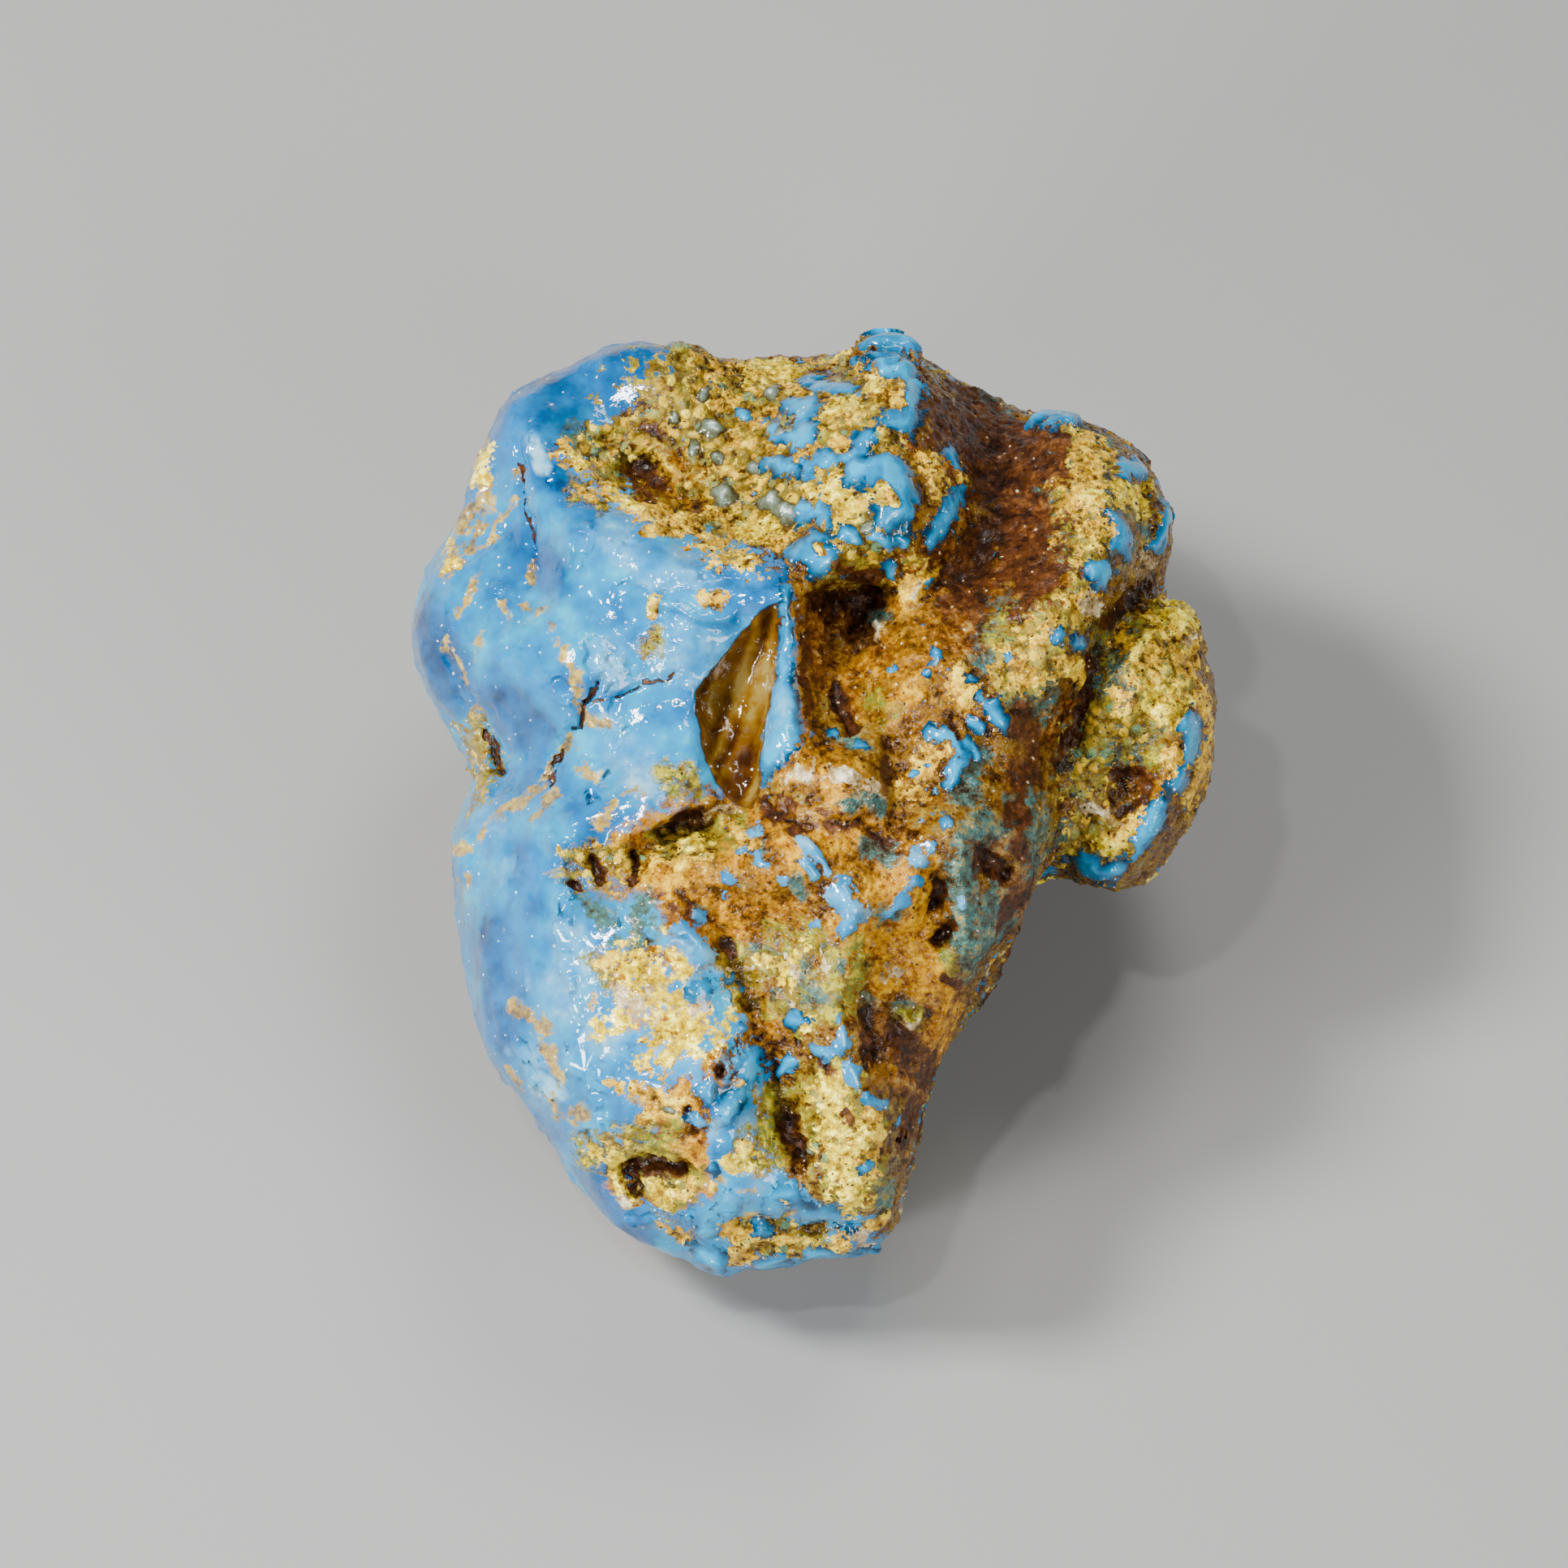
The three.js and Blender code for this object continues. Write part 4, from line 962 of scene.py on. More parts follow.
# Relief that the solid is too coarse for: rise (below 0 for a slot or a pit), reach and line.
RELIEF = [
    # The lip on the chip's right, the swelling on its left, and two sharp ripples within it.
    (0.3, 0.3, (-2.4, 10.9), (-2.8, 9.6), (-3.7, 7)),
    (0.25, 0.3, (-6.2, 6.9), (-6.1, 5.6), (-5.7, 4.9)),
    (0.6, 0.9, (-1.7, 12.4), (-1.6, 10.5), (-1.6, 8), (-1.6, 5.8), (-1.9, 3.8), (-2.6, 2)),
    (0.4, 0.9, (-7.4, 6.6), (-7.6, 4.4), (-7.2, 2.2)),
    # The pit at the foot of the swelling.
    (-1.0, 1.2, (0.8, 12), (3.6, 12.2)),
    (0.7, 1.1, (1.6, 9.9), (2.6, 9.6)),
    (-0.3, 0.5, (0.4, 9), (1, 8.2)),
    (0.7, 0.8, (5.6, 12.1), (7, 13)),
    (0.7, 0.7, (3.8, 10.8), (4.4, 9.8)),
    (0.4, 0.5, (0.8, 10.2), (1.8, 9.2)),
    # The bowl: its dark core, and the steps of crust round it.
    (-1.3, 1.5, (-10.8, 20.6), (-9.4, 19.8), (-7.6, 18.5)),
    (-0.4, 0.5, (-12.8, 21.8), (-11.4, 22)),
    (-0.4, 0.5, (-8.6, 22), (-7.6, 20.2), (-6.6, 18)),
    (0.5, 0.6, (-15, 21), (-13.6, 19.9), (-12, 18.6), (-10.4, 17.5)),
    (0.45, 0.6, (-12.8, 22.6), (-9.2, 21.6), (-8.2, 19.4)),
    (0.4, 0.6, (-8, 17.2), (-6.4, 16.8)),
    (-0.3, 0.4, (-12, 19.6), (-9.6, 18)),
    # The steps of crust on the swelling.
    (0.4, 1.1, (1.4, 18.3)),
    (0.35, 1.1, (1.8, 23.6)),
    (0.35, 0.9, (4.2, 25)),
    (-0.4, 0.8, (4.9, 21.4), (6.4, 20.6), (6.8, 18.2)),
    (-0.6, 0.5, (1.8, 26.9), (3.2, 26.9), (5, 27.1), (6.6, 26.2)),
    (-0.3, 0.4, (6.9, 25), (7, 23.4), (6.2, 22.2)),
    (-0.3, 0.4, (1.6, 21.2), (3.2, 21), (4.8, 21.2)),
    # The lip of crust that hangs over the crest.
    (0.4, 0.6, (-7.4, 13.6), (-5.4, 13.9), (-3.6, 14)),
    (-0.45, 0.6, (-8.6, 12.8), (-5.6, 13.1), (-3.4, 12.8)),
    (0.45, 0.5, (-10, 12.4), (-7.6, 11.2), (-5, 10.9)),
    (-0.25, 0.35, (-9.6, 11.6), (-7.6, 10.6), (-5.4, 10.3)),
    # Creases and cracks in the smooth left flank.
    (-0.5, 0.5, (-18.3, 22), (-17.9, 19), (-17.2, 16.4), (-16.8, 13)),
    (0.3, 0.6, (-17.4, 22), (-17, 19), (-16.4, 16.4)),
    (0.4, 0.8, (-20.3, 21.6), (-20.5, 18.5), (-21.6, 16), (-22.2, 13.8)),
    (-0.25, 0.3, (-18.2, 17.2), (-20, 15.4), (-22.2, 13.7)),
    (-0.5, 0.35, (-15.9, 1), (-15, 2.8), (-14.4, 4.6), (-13.6, 6), (-12.9, 7.2)),
    (-0.3, 0.3, (-13.6, 5.8), (-12, 6.3), (-10, 7.2), (-8.4, 7.6)),
    (0.3, 0.4, (-9, 12.6), (-9.3, 12), (-9.9, 11.4)),
    (-0.9, 0.5, (-20.2, 4.2), (-19.3, 3.4), (-19, 1.6)),
    (0.5, 1.1, (-20.8, 3), (-20.2, 0.8)),
    (-0.4, 0.4, (-22.6, 9), (-21.4, 6.6), (-19.8, 4.4)),
    (-0.4, 1.5, (-17, 3.6), (-18.4, 6)),
    (-0.2, 0.8, (-18.6, 10.6), (-16, 12)),
    (0.25, 1.0, (-19.4, 12.4), (-18.6, 14.6)),
    # Flats and small swellings of the skin that catch the light.
    (0.25, 1.1, (-13.9, 15.7)),
    (0.25, 1.3, (-13, 8.6), (-12, 7.6)),
    (0.2, 0.8, (-15.1, 6.6)),
    (0.2, 0.8, (-11.7, 5.4)),
    (0.2, 0.7, (-8.5, 9.2)),
    (0.25, 0.8, (-16.7, 22)),
    (0.25, 0.7, (-16, 19.8)),
    (0.25, 0.8, (-15.1, -7.8), (-14.2, -9)),
    (0.2, 0.6, (-14.5, -10.2), (-14.4, -12.6)),
    (0.3, 1.3, (-13.2, -15.2)),
    (0.25, 0.7, (-17.3, -15), (-16.8, -16.6)),
    (0.25, 0.8, (-16, -16.8)),
    (0.25, 0.6, (-13, -17.8), (-12.6, -19)),
    (0.25, 0.8, (-11.4, -12.8)),
    (0.3, 0.6, (-11.2, -24.3)),
    (0.25, 0.5, (-11, -25.4), (-10.1, -25.1)),
    (0.25, 0.5, (-6.4, -20.4)),
    (0.2, 0.4, (-13.8, -21)),
    # The fold: the overhanging lip, the slots under it and the crust shelf.
    (0.9, 0.9, (-11.6, -2.4), (-9, -0.9), (-6, -0.2)),
    (-1.2, 0.7, (-8.8, -2.1), (-7.2, -1.4), (-6, -1)),
    (-0.6, 1.2, (-10.4, -3.2), (-8.4, -2.6), (-6.6, -2)),
    (0.5, 1.4, (-9.4, -4.8), (-5.4, -4.4)),
    (-0.6, 0.4, (-10.9, -3), (-10.7, -4.6)),
    (-0.7, 0.5, (-13.3, -3.9), (-12.6, -4.8)),
    (-0.5, 0.35, (-14.6, -5.1), (-13.8, -5.2)),
    (0.5, 0.7, (-15.4, -2.2), (-14.9, -5.4), (-14.9, -8.6), (-14.4, -12)),
    (0.5, 0.8, (-7, -2.7)),
    (-0.3, 0.4, (-9.6, -4.6), (-8, -4.4)),
    (-0.4, 0.5, (-9.6, -5.4), (-7, -6.1), (-5.2, -7.8)),
    # Hump and hollows of the middle.
    (0.5, 1.4, (-0.4, 2), (1.6, 1.4)),
    (0.25, 0.22, (-1.9, 0.2), (-1.5, 2.6)),
    (0.25, 0.22, (-1.5, 0.1), (-0.6, 2.8)),
    (0.25, 0.22, (-1.1, 0), (0.3, 2.6)),
    (0.25, 0.22, (-0.8, -0.2), (1.2, 2)),
    (0.25, 0.22, (-0.6, -0.4), (2, 1.2)),
    (0.25, 0.22, (-0.5, -0.7), (2.4, 0.3)),
    (0.2, 0.2, (-0.3, -1), (2.2, -0.5)),
    (-0.5, 0.5, (-2.8, -0.6), (-1.4, -1.3), (0.2, -1.8)),
    (0.4, 0.7, (-7.4, -2.8)),
    (-0.4, 0.4, (1.2, -1.2), (3.6, -2)),
    (0.6, 0.8, (6, 6.4)),
    (0.5, 0.7, (4.5, 5.8)),
    (-0.6, 0.6, (1.3, 6.7), (1.8, 5.2), (2.6, 4)),
    (-0.5, 0.9, (4.8, 3.2), (5, 1)),
    (0.4, 0.8, (9, 7.4), (9.4, 6)),
    # The right flank's dark pits and streaks.
    (-0.6, 0.55, (7.3, -5.2), (7.2, -6.5)),
    (-0.6, 0.6, (7.5, -8.3), (8.2, -7.4)),
    (-0.7, 1.1, (10.2, -3.8), (11.4, -4.6)),
    (0.4, 0.5, (8.8, -2.6), (8.3, -4.4), (8.9, -6.4), (9.4, -8.6)),
    (-0.7, 0.8, (3.4, -12.8), (3.7, -15.4)),
    (0.5, 0.45, (4.9, -12.4), (5.5, -13.5), (6.3, -12.9)),
    (0.4, 0.7, (4.6, -16.4), (5.8, -17.6), (6.4, -18.4)),
    (-0.3, 0.5, (8.2, -10.8), (7.8, -12.6), (7, -14)),
    (-0.4, 0.5, (3.8, -14), (3.5, -15.6)),
    # The lower front: groove, pits and ledge.
    (-0.6, 0.8, (-5.4, -8.6), (-3.6, -12), (-2.8, -15), (-2.4, -17)),
    (-1.0, 0.8, (-1.5, -18.6), (-1, -20.4), (-0.6, -21.6)),
    (-1.2, 0.7, (-10.9, -21.9), (-9.6, -21.7), (-8, -22)),
    (-0.9, 0.6, (-10.9, -22.2), (-10.4, -23.3)),
    (0.4, 0.6, (-12, -21), (-9.8, -20.6), (-7.6, -21)),
    (0.3, 0.5, (-11.8, -22.6), (-11.4, -23.4)),
    (-0.7, 0.5, (-5.3, -16)),
    (0.3, 0.4, (-5, -14.6), (-6, -16.4), (-4.3, -16.8)),
    (-0.6, 0.4, (-7.7, -18.4), (-7.2, -20.2)),
    (-0.5, 0.4, (-1.1, -14.2)),
    (-0.5, 0.4, (-3, -14.1)),
    (-0.5, 0.4, (0.8, -15.8)),
    (-0.6, 0.5, (-4.6, -25.4), (-2, -25.7), (0.6, -25.8), (3, -25.6)),
    (0.4, 0.5, (-4.6, -26.5), (-1, -26.5), (2.4, -26.5)),
    # The shoulder and the knuckle.
    (-0.5, 0.5, (20.4, 19.4), (19.9, 17), (20.2, 14.4)),
    (-0.4, 0.8, (20.6, 13.2), (18.6, 11), (17.4, 8.6), (16.2, 5), (15, 1.6)),
    (0.5, 1.1, (16.8, 18.6), (18.6, 18.8)),
    (0.5, 0.9, (22.3, 11.2)),
    (0.5, 0.9, (21.6, 5.6), (21.4, 3.6)),
    (-0.6, 1.3, (19.4, 0.8), (18.4, -0.6)),
    (0.4, 0.6, (20.4, 9.4), (18.8, 7.8)),
    (0.4, 0.7, (17, -0.6), (18, -1)),
]

# Small worn flats on the wet skin and the glassy grains: reach and line.
FLATS = [
    (0.75, (-13.8, 15.7)),
    (0.35, (-14.1, 14.2)),
    (0.35, (-11, 13.5)),
    (0.3, (-12, 12.2), (-11.3, 12.8)),
    (0.4, (-13.4, 8), (-13.3, 9.2), (-12.6, 9)),
    (0.3, (-12.2, 8.6), (-11.5, 7.9)),
    (0.45, (-15.2, 6.9), (-14.9, 6.4)),
    (0.4, (-11.6, 5.9), (-11.6, 5.2)),
    (0.3, (-12.1, 6.7)),
    (0.25, (-11.2, 4.3), (-11.9, 3.3)),
    (0.25, (-12.8, 1.6), (-13.2, 0.3)),
    (0.4, (-8.5, 9.2)),
    (0.3, (-9.2, 10.6)),
    (0.25, (-10.9, 15.5)),
    (0.4, (-16.8, 22.2)),
    (0.35, (-16, 19.8)),
    (0.3, (-19.2, 12.6)),
    (0.3, (-17.7, 9.2)),
    (0.3, (-14.6, -5.6), (-14.9, -6.6)),
    (0.4, (-14.9, -7.7), (-14.7, -8.6)),
    (0.4, (-14.5, -9.9)),
    (0.45, (-14.3, -11.9), (-14.1, -12.7)),
    (0.65, (-11.7, -12.8)),
    (1.0, (-13.5, -14.8), (-13.1, -15.7)),
    (0.4, (-12.9, -16.9)),
    (0.4, (-17.3, -14.7), (-17.2, -15.3)),
    (0.45, (-16.2, -15.1)),
    (0.4, (-16.9, -16.3), (-16.6, -17)),
    (0.5, (-15.9, -16.4), (-15.5, -17.6)),
    (0.5, (-12.8, -17.9)),
    (0.45, (-12.7, -19)),
    (0.25, (-13.5, -20.1), (-13.9, -20.9)),
    (0.3, (-10.7, -14.7)),
    (0.45, (-6.3, -20.2), (-6.2, -20.9)),
    (0.5, (-10.9, -25.4)),
    (0.4, (-10, -25.1)),
    (0.3, (-7.3, -24.6)),
    (0.12, (-11.5, -6.4), (-11.7, -7.5)),
    (0.3, (-9.8, -10.2)),
    (0.3, (-7.7, -12.6)),
    (0.25, (-6.8, -11.6)),
    (0.35, (-2.5, 18.2)),
    (0.35, (-1.5, 17.3)),
    (0.3, (3.4, 19.5), (2.9, 19.7)),
    (0.25, (3.4, 16.6)),
    (0.25, (18.1, 16)),
    (0.3, (1, 9.6), (1.6, 9.1)),
    (0.2, (2.2, 9.2)),
    (0.25, (5.2, 12), (5.8, 12.5)),
    (0.25, (6.3, 6.1)),
    (0.3, (3, 0.5)),
    (0.3, (1, -22.6), (2, -22.8)),
    (0.3, (17, -0.7)),
    (0.2, (-10, -10.4)),
    (0.2, (-9.7, -11.4)),
    (0.2, (-7.8, -12.7)),
    (0.2, (-9.3, -15)),
    (0.2, (-10.8, -15.9)),
    (0.25, (-8.1, -13.4)),
    (0.2, (-1.7, -9.5)),
    (0.25, (5.4, -20.3)),
    (0.35, (-7.3, -24.5)),
    (0.3, (-16.9, 21.2)),
    (0.2, (-17.3, 23.2)),
    (0.15, (3.3, -11.6)),
]

# Where the crust is a bed of small glassy beads in many colours.
BEADED = [
    (3.4, (-7.6, 25.4), (-5, 23), (-3.4, 20.6)),
    (3.0, (-2, 25.6), (1, 25), (2, 23)),
    (2.6, (-4.4, 18.4), (-1.4, 18.2), (-1, 21.4), (2.6, 20.8)),
    (2.2, (2.4, 17.6), (3.4, 16.2), (2.6, 15.4)),
    (1.2, (-12.6, 22), (-10, 22.2), (-9, 24)),
    (1.0, (-13.4, 21), (-12, 19.4)),
    (1.2, (18.4, 19.2), (20, 18.6)),
    (1.4, (16.8, 16), (16.4, 14.4)),
    (1.4, (15.6, 11.6), (13.4, 10), (12.2, 7.4)),
    (1.0, (21.4, 9.4), (20.4, 8)),
    (1.2, (21.4, 6.6), (19.6, 4.6)),
    (1.4, (17.6, 5), (16.6, 1.6)),
    (1.2, (17, -1.6), (16, -2.8)),
    (1.0, (-20.8, 4.2), (-20, 2.4), (-20.2, 1), (-21.4, 0.4)),
    (0.9, (-8.6, -3), (-6.4, -3.2)),
    (1.2, (-13.4, -4), (-11.6, -3.8)),
    (1.5, (1, -18), (1.6, -21)),
    (1.2, (-9.2, -23.2), (-11.6, -21)),
    (1.0, (-3, -26.4), (0.6, -26.6)),
]

# Round glassy bubbles in the crust: rise, reach and place.
BUBBLES = [
    (0.5, 0.8, (-5.2, 18.5)),
    (0.45, 0.7, (-2.6, 18.1)),
    (0.45, 0.75, (-1.6, 17.2)),
    (0.4, 0.7, (-6.1, 22.8)),
    (0.4, 0.7, (-1.6, 22)),
    (0.35, 0.5, (-7.2, 21.6)),
    (0.35, 0.6, (-5.8, 20.9)),
    (0.3, 0.5, (-6.6, 24.8)),
    (0.3, 0.5, (-2.4, 25.2)),
    (0.3, 0.5, (3.4, 16.6)),
    (0.3, 0.5, (-8.4, 23.4)),
    (0.3, 0.5, (-3.6, 20)),
    (0.2, 0.4, (3.35, -11.7)),
    (0.2, 0.3, (-0.2, -20.9)),
    (0.15, 0.4, (-8.7, -18.6)),
]


LEAN_WIDTH = 12  # from the middle to where a share has its full lean


def painted_all_round(daubs, size, seed, cover, lean=0, most=1.0):
    """The face's field, carried on over the sides and back by clouds that cover a like share of them.

    The share grows by lean towards the right side, and shrinks by as much towards the left.
    """
    cover = cover + lean * np.clip(u / LEAN_WIDTH, -1, 1)
    beyond = np.clip(0.5 + 0.9 * clouds(size, seed) + cover, 0, most)
    return painted_side * painted(daubs, most=most) + (1 - painted_side) * beyond


amber_ground = np.clip(0.5 + 0.5 * inside(AMBER_GROUND, 1), 0, 0.85)
fields = {
    # Each list with the size and seed of its clouds, the share of them that it covers, lean and most.
    "skin": painted_all_round([knob[1:] for knob in BLUE_KNOBS], 5, 41, -0.3),
    "crust": painted_all_round(CRUST, 6, 43, -0.2, 0.15, 0.8),
    "vein": painted_all_round(VEINS, 4, 97, -0.3),
    "straw": painted_all_round(STRAW, 5, 47, -0.5, 0.1, 0.8),
    "cream_and_glints": painted_all_round(CREAM_AND_GLINTS, 4, 53, -0.5, 0, 0.9),
    "amber": np.maximum(painted_all_round(AMBER, 12, 59, 0.1, 0.4, 0.85), painted_side * amber_ground),
    "orange": painted_all_round(ORANGE, 6, 83, -0.3, 0.1, 0.8),
    "russet": painted_all_round(RUSSET, 5, 103, -0.2, 0.15, 0.8),
    "glow": painted_all_round(GLOW, 5, 101, -0.4, 0.1, 0.8),
    "umber_and_shade": painted_all_round(UMBER_AND_SHADE, 7, 61, -0.16, 0.2, 0.85),
    "teal": painted_all_round(TEAL, 6, 67, -0.2, 0.15, 0.75),
    "olive": painted_all_round(OLIVE, 6, 79, -0.25, 0.1, 0.75),
    "milk_and_highlight": painted_all_round(MILK_AND_HIGHLIGHT, 6, 71, -0.1),
    "azure": painted_all_round(AZURE, 8, 73, 0),
    "bubble": facing * painted([bubble[1:] for bubble in BUBBLES], 1.4),
    "beaded": painted_all_round(BEADED, 6, 89, -0.2, 0.1, 0.8),
    "chip": facing * np.clip(0.5 + inside(CHIP), 0, 1),
}
fields["skin"] = np.maximum(fields["skin"], facing * np.clip(0.5 + inside(CHIP_LIP), 0, 1))
flakes = facing * painted(FLAKES)
fields["skin"] = fields["skin"] - flakes
fields["crust"] = np.maximum(fields["crust"], flakes)

# The crust leaves gaps over the beads.
fields["crust"] = fields["crust"] - 0.28 * smooth_step(fields["beaded"], 0.3, 0.7)

# Streaks that run down the chip, from 0 to 1.
across = (u * 0.95 - v * 0.28 + 0.3 * (wander_u - u)) / 0.5
streaks = [noise.noise(Vector((x, y / 4.5, 4.2))) for x, y in zip(across, v)]
fields["streak"] = np.clip(0.5 + 1.1 * np.array(streaks), 0, 1)

# The surface: relief on the face, coarse grain where there is crust, and a soft swell in the skin. Heights
# are in millimetres. The chip is cut in with a steep wall, a hollow floor and one facet.
bare = np.maximum.reduce([fields[name] for name in ("crust", "amber", "umber_and_shade", "olive")])
bare = smooth_step(bare, 0.3, 0.6)
smooth = np.maximum.reduce([fields["skin"], fields["chip"], fields["bubble"]])
rough = bare * (1 - smooth_step(smooth, 0.4, 0.6))
cut = raised(RELIEF) + domes(BLUE_KNOBS + BUBBLES)
in_chip = inside(CHIP)
wall = 0.7 * smooth_step(in_chip, -0.2, 0.9) + 0.7 * smooth_step(in_chip, 0.3, 2.4)
facet = 0.5 * smooth_step((u + 4.1) * 0.85 + (v - 7.4) * -0.5, -1.4, 0.2) * smooth_step(in_chip, 0, 0.8)
cut += (0.3 * (fields["streak"] - 0.5) * smooth_step(in_chip, 0, 0.8)) - wall - facet
crumbs = smooth_step(fields["crust"] + 0.5 * clouds(0.7, 7), 0.42, 0.56)
grain = rough * (0.2 * clouds(1.1, 5, 4) + 0.14 * crumbs)
grain += (1 - rough) * (in_chip < 0) * 0.07 * clouds(1.6, 9, 3)
grain += (1 - facing) * 0.45 * clouds(4, 13, 4)
grain += smooth_step(towards_w, -0.75, -0.3) * domes(RIM_KNOBS)

rest_plane = cad_bounds[0][2]
off_the_flat = smooth_step(points[:, 2], rest_plane + 0.2 * MM, rest_plane + 1.2 * MM)[:, None]
along_w = 0.6 * np.array(FACE_W) + 0.4 * normals
moved = (facing * cut)[:, None] * along_w + grain[:, None] * normals
points = points + moved * off_the_flat * MM
points[:, 2] = np.maximum(points[:, 2], rest_plane)

# The flats: each is cut across the skin, halfway between w and a lamp. The two lamps on the left, in
# metres from the middle of the face, serve the upper and the lower flats.
KEY_LIGHT = Vector((-0.3, -0.05, 0.4))
LOW_LIGHT = Vector((-0.31, -0.34, 0.14))
fields["flat"] = np.zeros(len(u))
for reach, *line in FLATS:
    near = distance_to(line) / reach
    lamp_side = KEY_LIGHT if line[0][1] > -4 else LOW_LIGHT
    side = (lamp_side.normalized() + FACE_W).normalized()
    patch = (near < 1) & (facing > 0.5)
    if not patch.any():
        continue
    gap = (points - points[patch].mean(0)) @ np.array(side)
    weight = facing * smooth_step(near, 1.25, 0.9)
    points -= (weight * gap / side.dot(FACE_W))[:, None] * np.array(FACE_W)
    fields["flat"] = np.maximum(fields["flat"], weight)
mesh.vertices.foreach_set("co", points.ravel())
mesh.update()
mesh.shade_smooth()

# How far each point stands above the surface round it: 0.5 where flat, less in a hollow, more on a ridge.
# Through the grain colours it paints shade into the hollows and light onto the ridges.
RISE_SPAN = 0.35 * MM
ROUNDS = 14  # of smoothing, each taking in the next points round about
ends = np.empty(len(mesh.edges) * 2, np.int32)
mesh.edges.foreach_get("vertices", ends)
first, second = ends.reshape(-1, 2).T
count = len(points)
neighbours = np.bincount(ends, minlength=count)[:, None]
smoothed = points
for _ in range(ROUNDS):
    sums = [
        np.bincount(first, axis[second], count) + np.bincount(second, axis[first], count)
        for axis in smoothed.T
    ]
    smoothed = np.stack(sums, 1) / neighbours
stands_out_for_shade = ((points - smoothed) * read_normals()).sum(1)
fields["rise"] = np.clip(0.5 + stands_out_for_shade / RISE_SPAN, 0, 1)

for name, field in fields.items():
    attribute = mesh.attributes.new(name, "FLOAT", "POINT")
    attribute.data.foreach_set("value", field.astype(np.float32))

# The finished surface is thinned, most where it is flattest, to stay under 200,000 triangles.
MOST_TRIANGLES = 196_000
mesh.update()
mesh.calc_loop_triangles()
thinning = nodule.modifiers.new("thinned surface", "DECIMATE")
thinning.ratio = MOST_TRIANGLES / len(mesh.loop_triangles)
mesh = bpy.data.meshes.new_from_object(nodule.evaluated_get(bpy.context.evaluated_depsgraph_get()))
nodule.modifiers.clear()
nodule.data = mesh


def new_group(name, inputs, outputs):
    """A shader node group. Each input is (name, type) and each output is (name, type)."""
    group = bpy.data.node_groups.new(name, "ShaderNodeTree")
    for label, kind in inputs:
        group.interface.new_socket(label, in_out="INPUT", socket_type="NodeSocket" + kind)
    for label, kind in outputs:
        group.interface.new_socket(label, in_out="OUTPUT", socket_type="NodeSocket" + kind)
    return group, group.nodes.new("NodeGroupInput").outputs, group.nodes.new("NodeGroupOutput").inputs


def wire(tree, socket, value):
    """Link a node's socket to an input, or set the input to a plain value."""
    if isinstance(value, bpy.types.NodeSocket):
        tree.links.new(value, socket)
    else:
        socket.default_value = value


def add_node(tree, kind, values=(), **settings):
    """A node with its inputs given by name: a socket is linked, anything else is its value."""
    node = tree.nodes.new("ShaderNode" + kind)
    for name, value in settings.items():
        setattr(node, name, value)
    for name, value in dict(values).items():
        wire(tree, node.inputs[name], value)
    return node


def mix(tree, factor, first, second):
    node = add_node(tree, "Mix", data_type="RGBA", clamp_factor=True)
    # A Mix node's factor and its two colours are inputs 0, 6 and 7, and its colour is output 2.
    for index, value in ((0, factor), (6, first), (7, second)):
        wire(tree, node.inputs[index], value)
    return node.outputs[2]


def math_node(tree, operation, *values):
    node = add_node(tree, "Math", operation=operation)
    for socket, value in zip(node.inputs, values):
        wire(tree, socket, value)
    return node.outputs[0]


def smooth_between(tree, value, low, high):
    return add_node(
        tree, "MapRange", {"Value": value, "From Min": low, "From Max": high}, interpolation_type="SMOOTHSTEP"
    ).outputs["Result"]


# A ragged mask: a field cut off at one half, with an edge that two sizes of grain break up.
ragged, given, made = new_group(
    "ragged mask",
    [("Field", "Float"), ("Clumps", "Float"), ("Crumbs", "Float"), ("Break", "Float"), ("Blur", "Float")],
    [("Mask", "Float")],
)
swing = math_node(ragged, "MULTIPLY_ADD", given["Crumbs"], 0.8, given["Clumps"])
swing = math_node(ragged, "SUBTRACT", swing, 0.9)
strength = math_node(ragged, "MULTIPLY", given["Break"], smooth_between(ragged, given["Field"], 0.02, 0.3))
broken = math_node(ragged, "MULTIPLY_ADD", swing, strength, given["Field"])
low = math_node(ragged, "SUBTRACT", 0.5, given["Blur"])
high = math_node(ragged, "ADD", 0.5, given["Blur"])
ragged.links.new(smooth_between(ragged, broken, low, high), made["Mask"])

surface = bpy.data.materials.new("blue amber skin")
surface.use_nodes = True
tree = surface.node_tree
shader = tree.nodes["Principled BSDF"]
# Grain is drawn out along w, so it isn't squeezed into stripes where the surface falls away steeply.
turned = add_node(tree, "Mapping", {"Vector": add_node(tree, "TexCoord").outputs["Object"]})
turned.inputs["Rotation"].default_value = (FACE_TILT - math.radians(90), 0, 0)
drawn_out = add_node(tree, "VectorMath", operation="MULTIPLY")
wire(tree, drawn_out.inputs[0], turned.outputs["Vector"])
wire(tree, drawn_out.inputs[1], (1, 1, 0.35))
place = drawn_out.outputs[0]


def grain_values(scale, detail, roughness=0.6):
    """Three unlike noise values of one size, from 0 to 1, and all three as a vector."""
    values = {"Vector": place, "Scale": scale, "Detail": detail, "Roughness": roughness}
    texture = add_node(tree, "TexNoise", values)
    split = add_node(tree, "SeparateColor", {"Color": texture.outputs["Color"]})
    return *split.outputs, texture.outputs["Color"]


def cells(scale, warp):
    """Grains packed side by side: the distance from each one's middle, and two values of its own."""
    moved = add_node(tree, "VectorMath", operation="MULTIPLY_ADD")
    for socket, value in zip(moved.inputs, (warp, (0.9 / scale,) * 3, place)):
        wire(tree, socket, value)
    texture = add_node(tree, "TexVoronoi", {"Vector": moved.outputs[0], "Scale": scale}, feature="F1")
    split = add_node(tree, "SeparateColor", {"Color": texture.outputs["Color"]})
    return texture.outputs["Distance"], split.outputs[0], split.outputs[1]


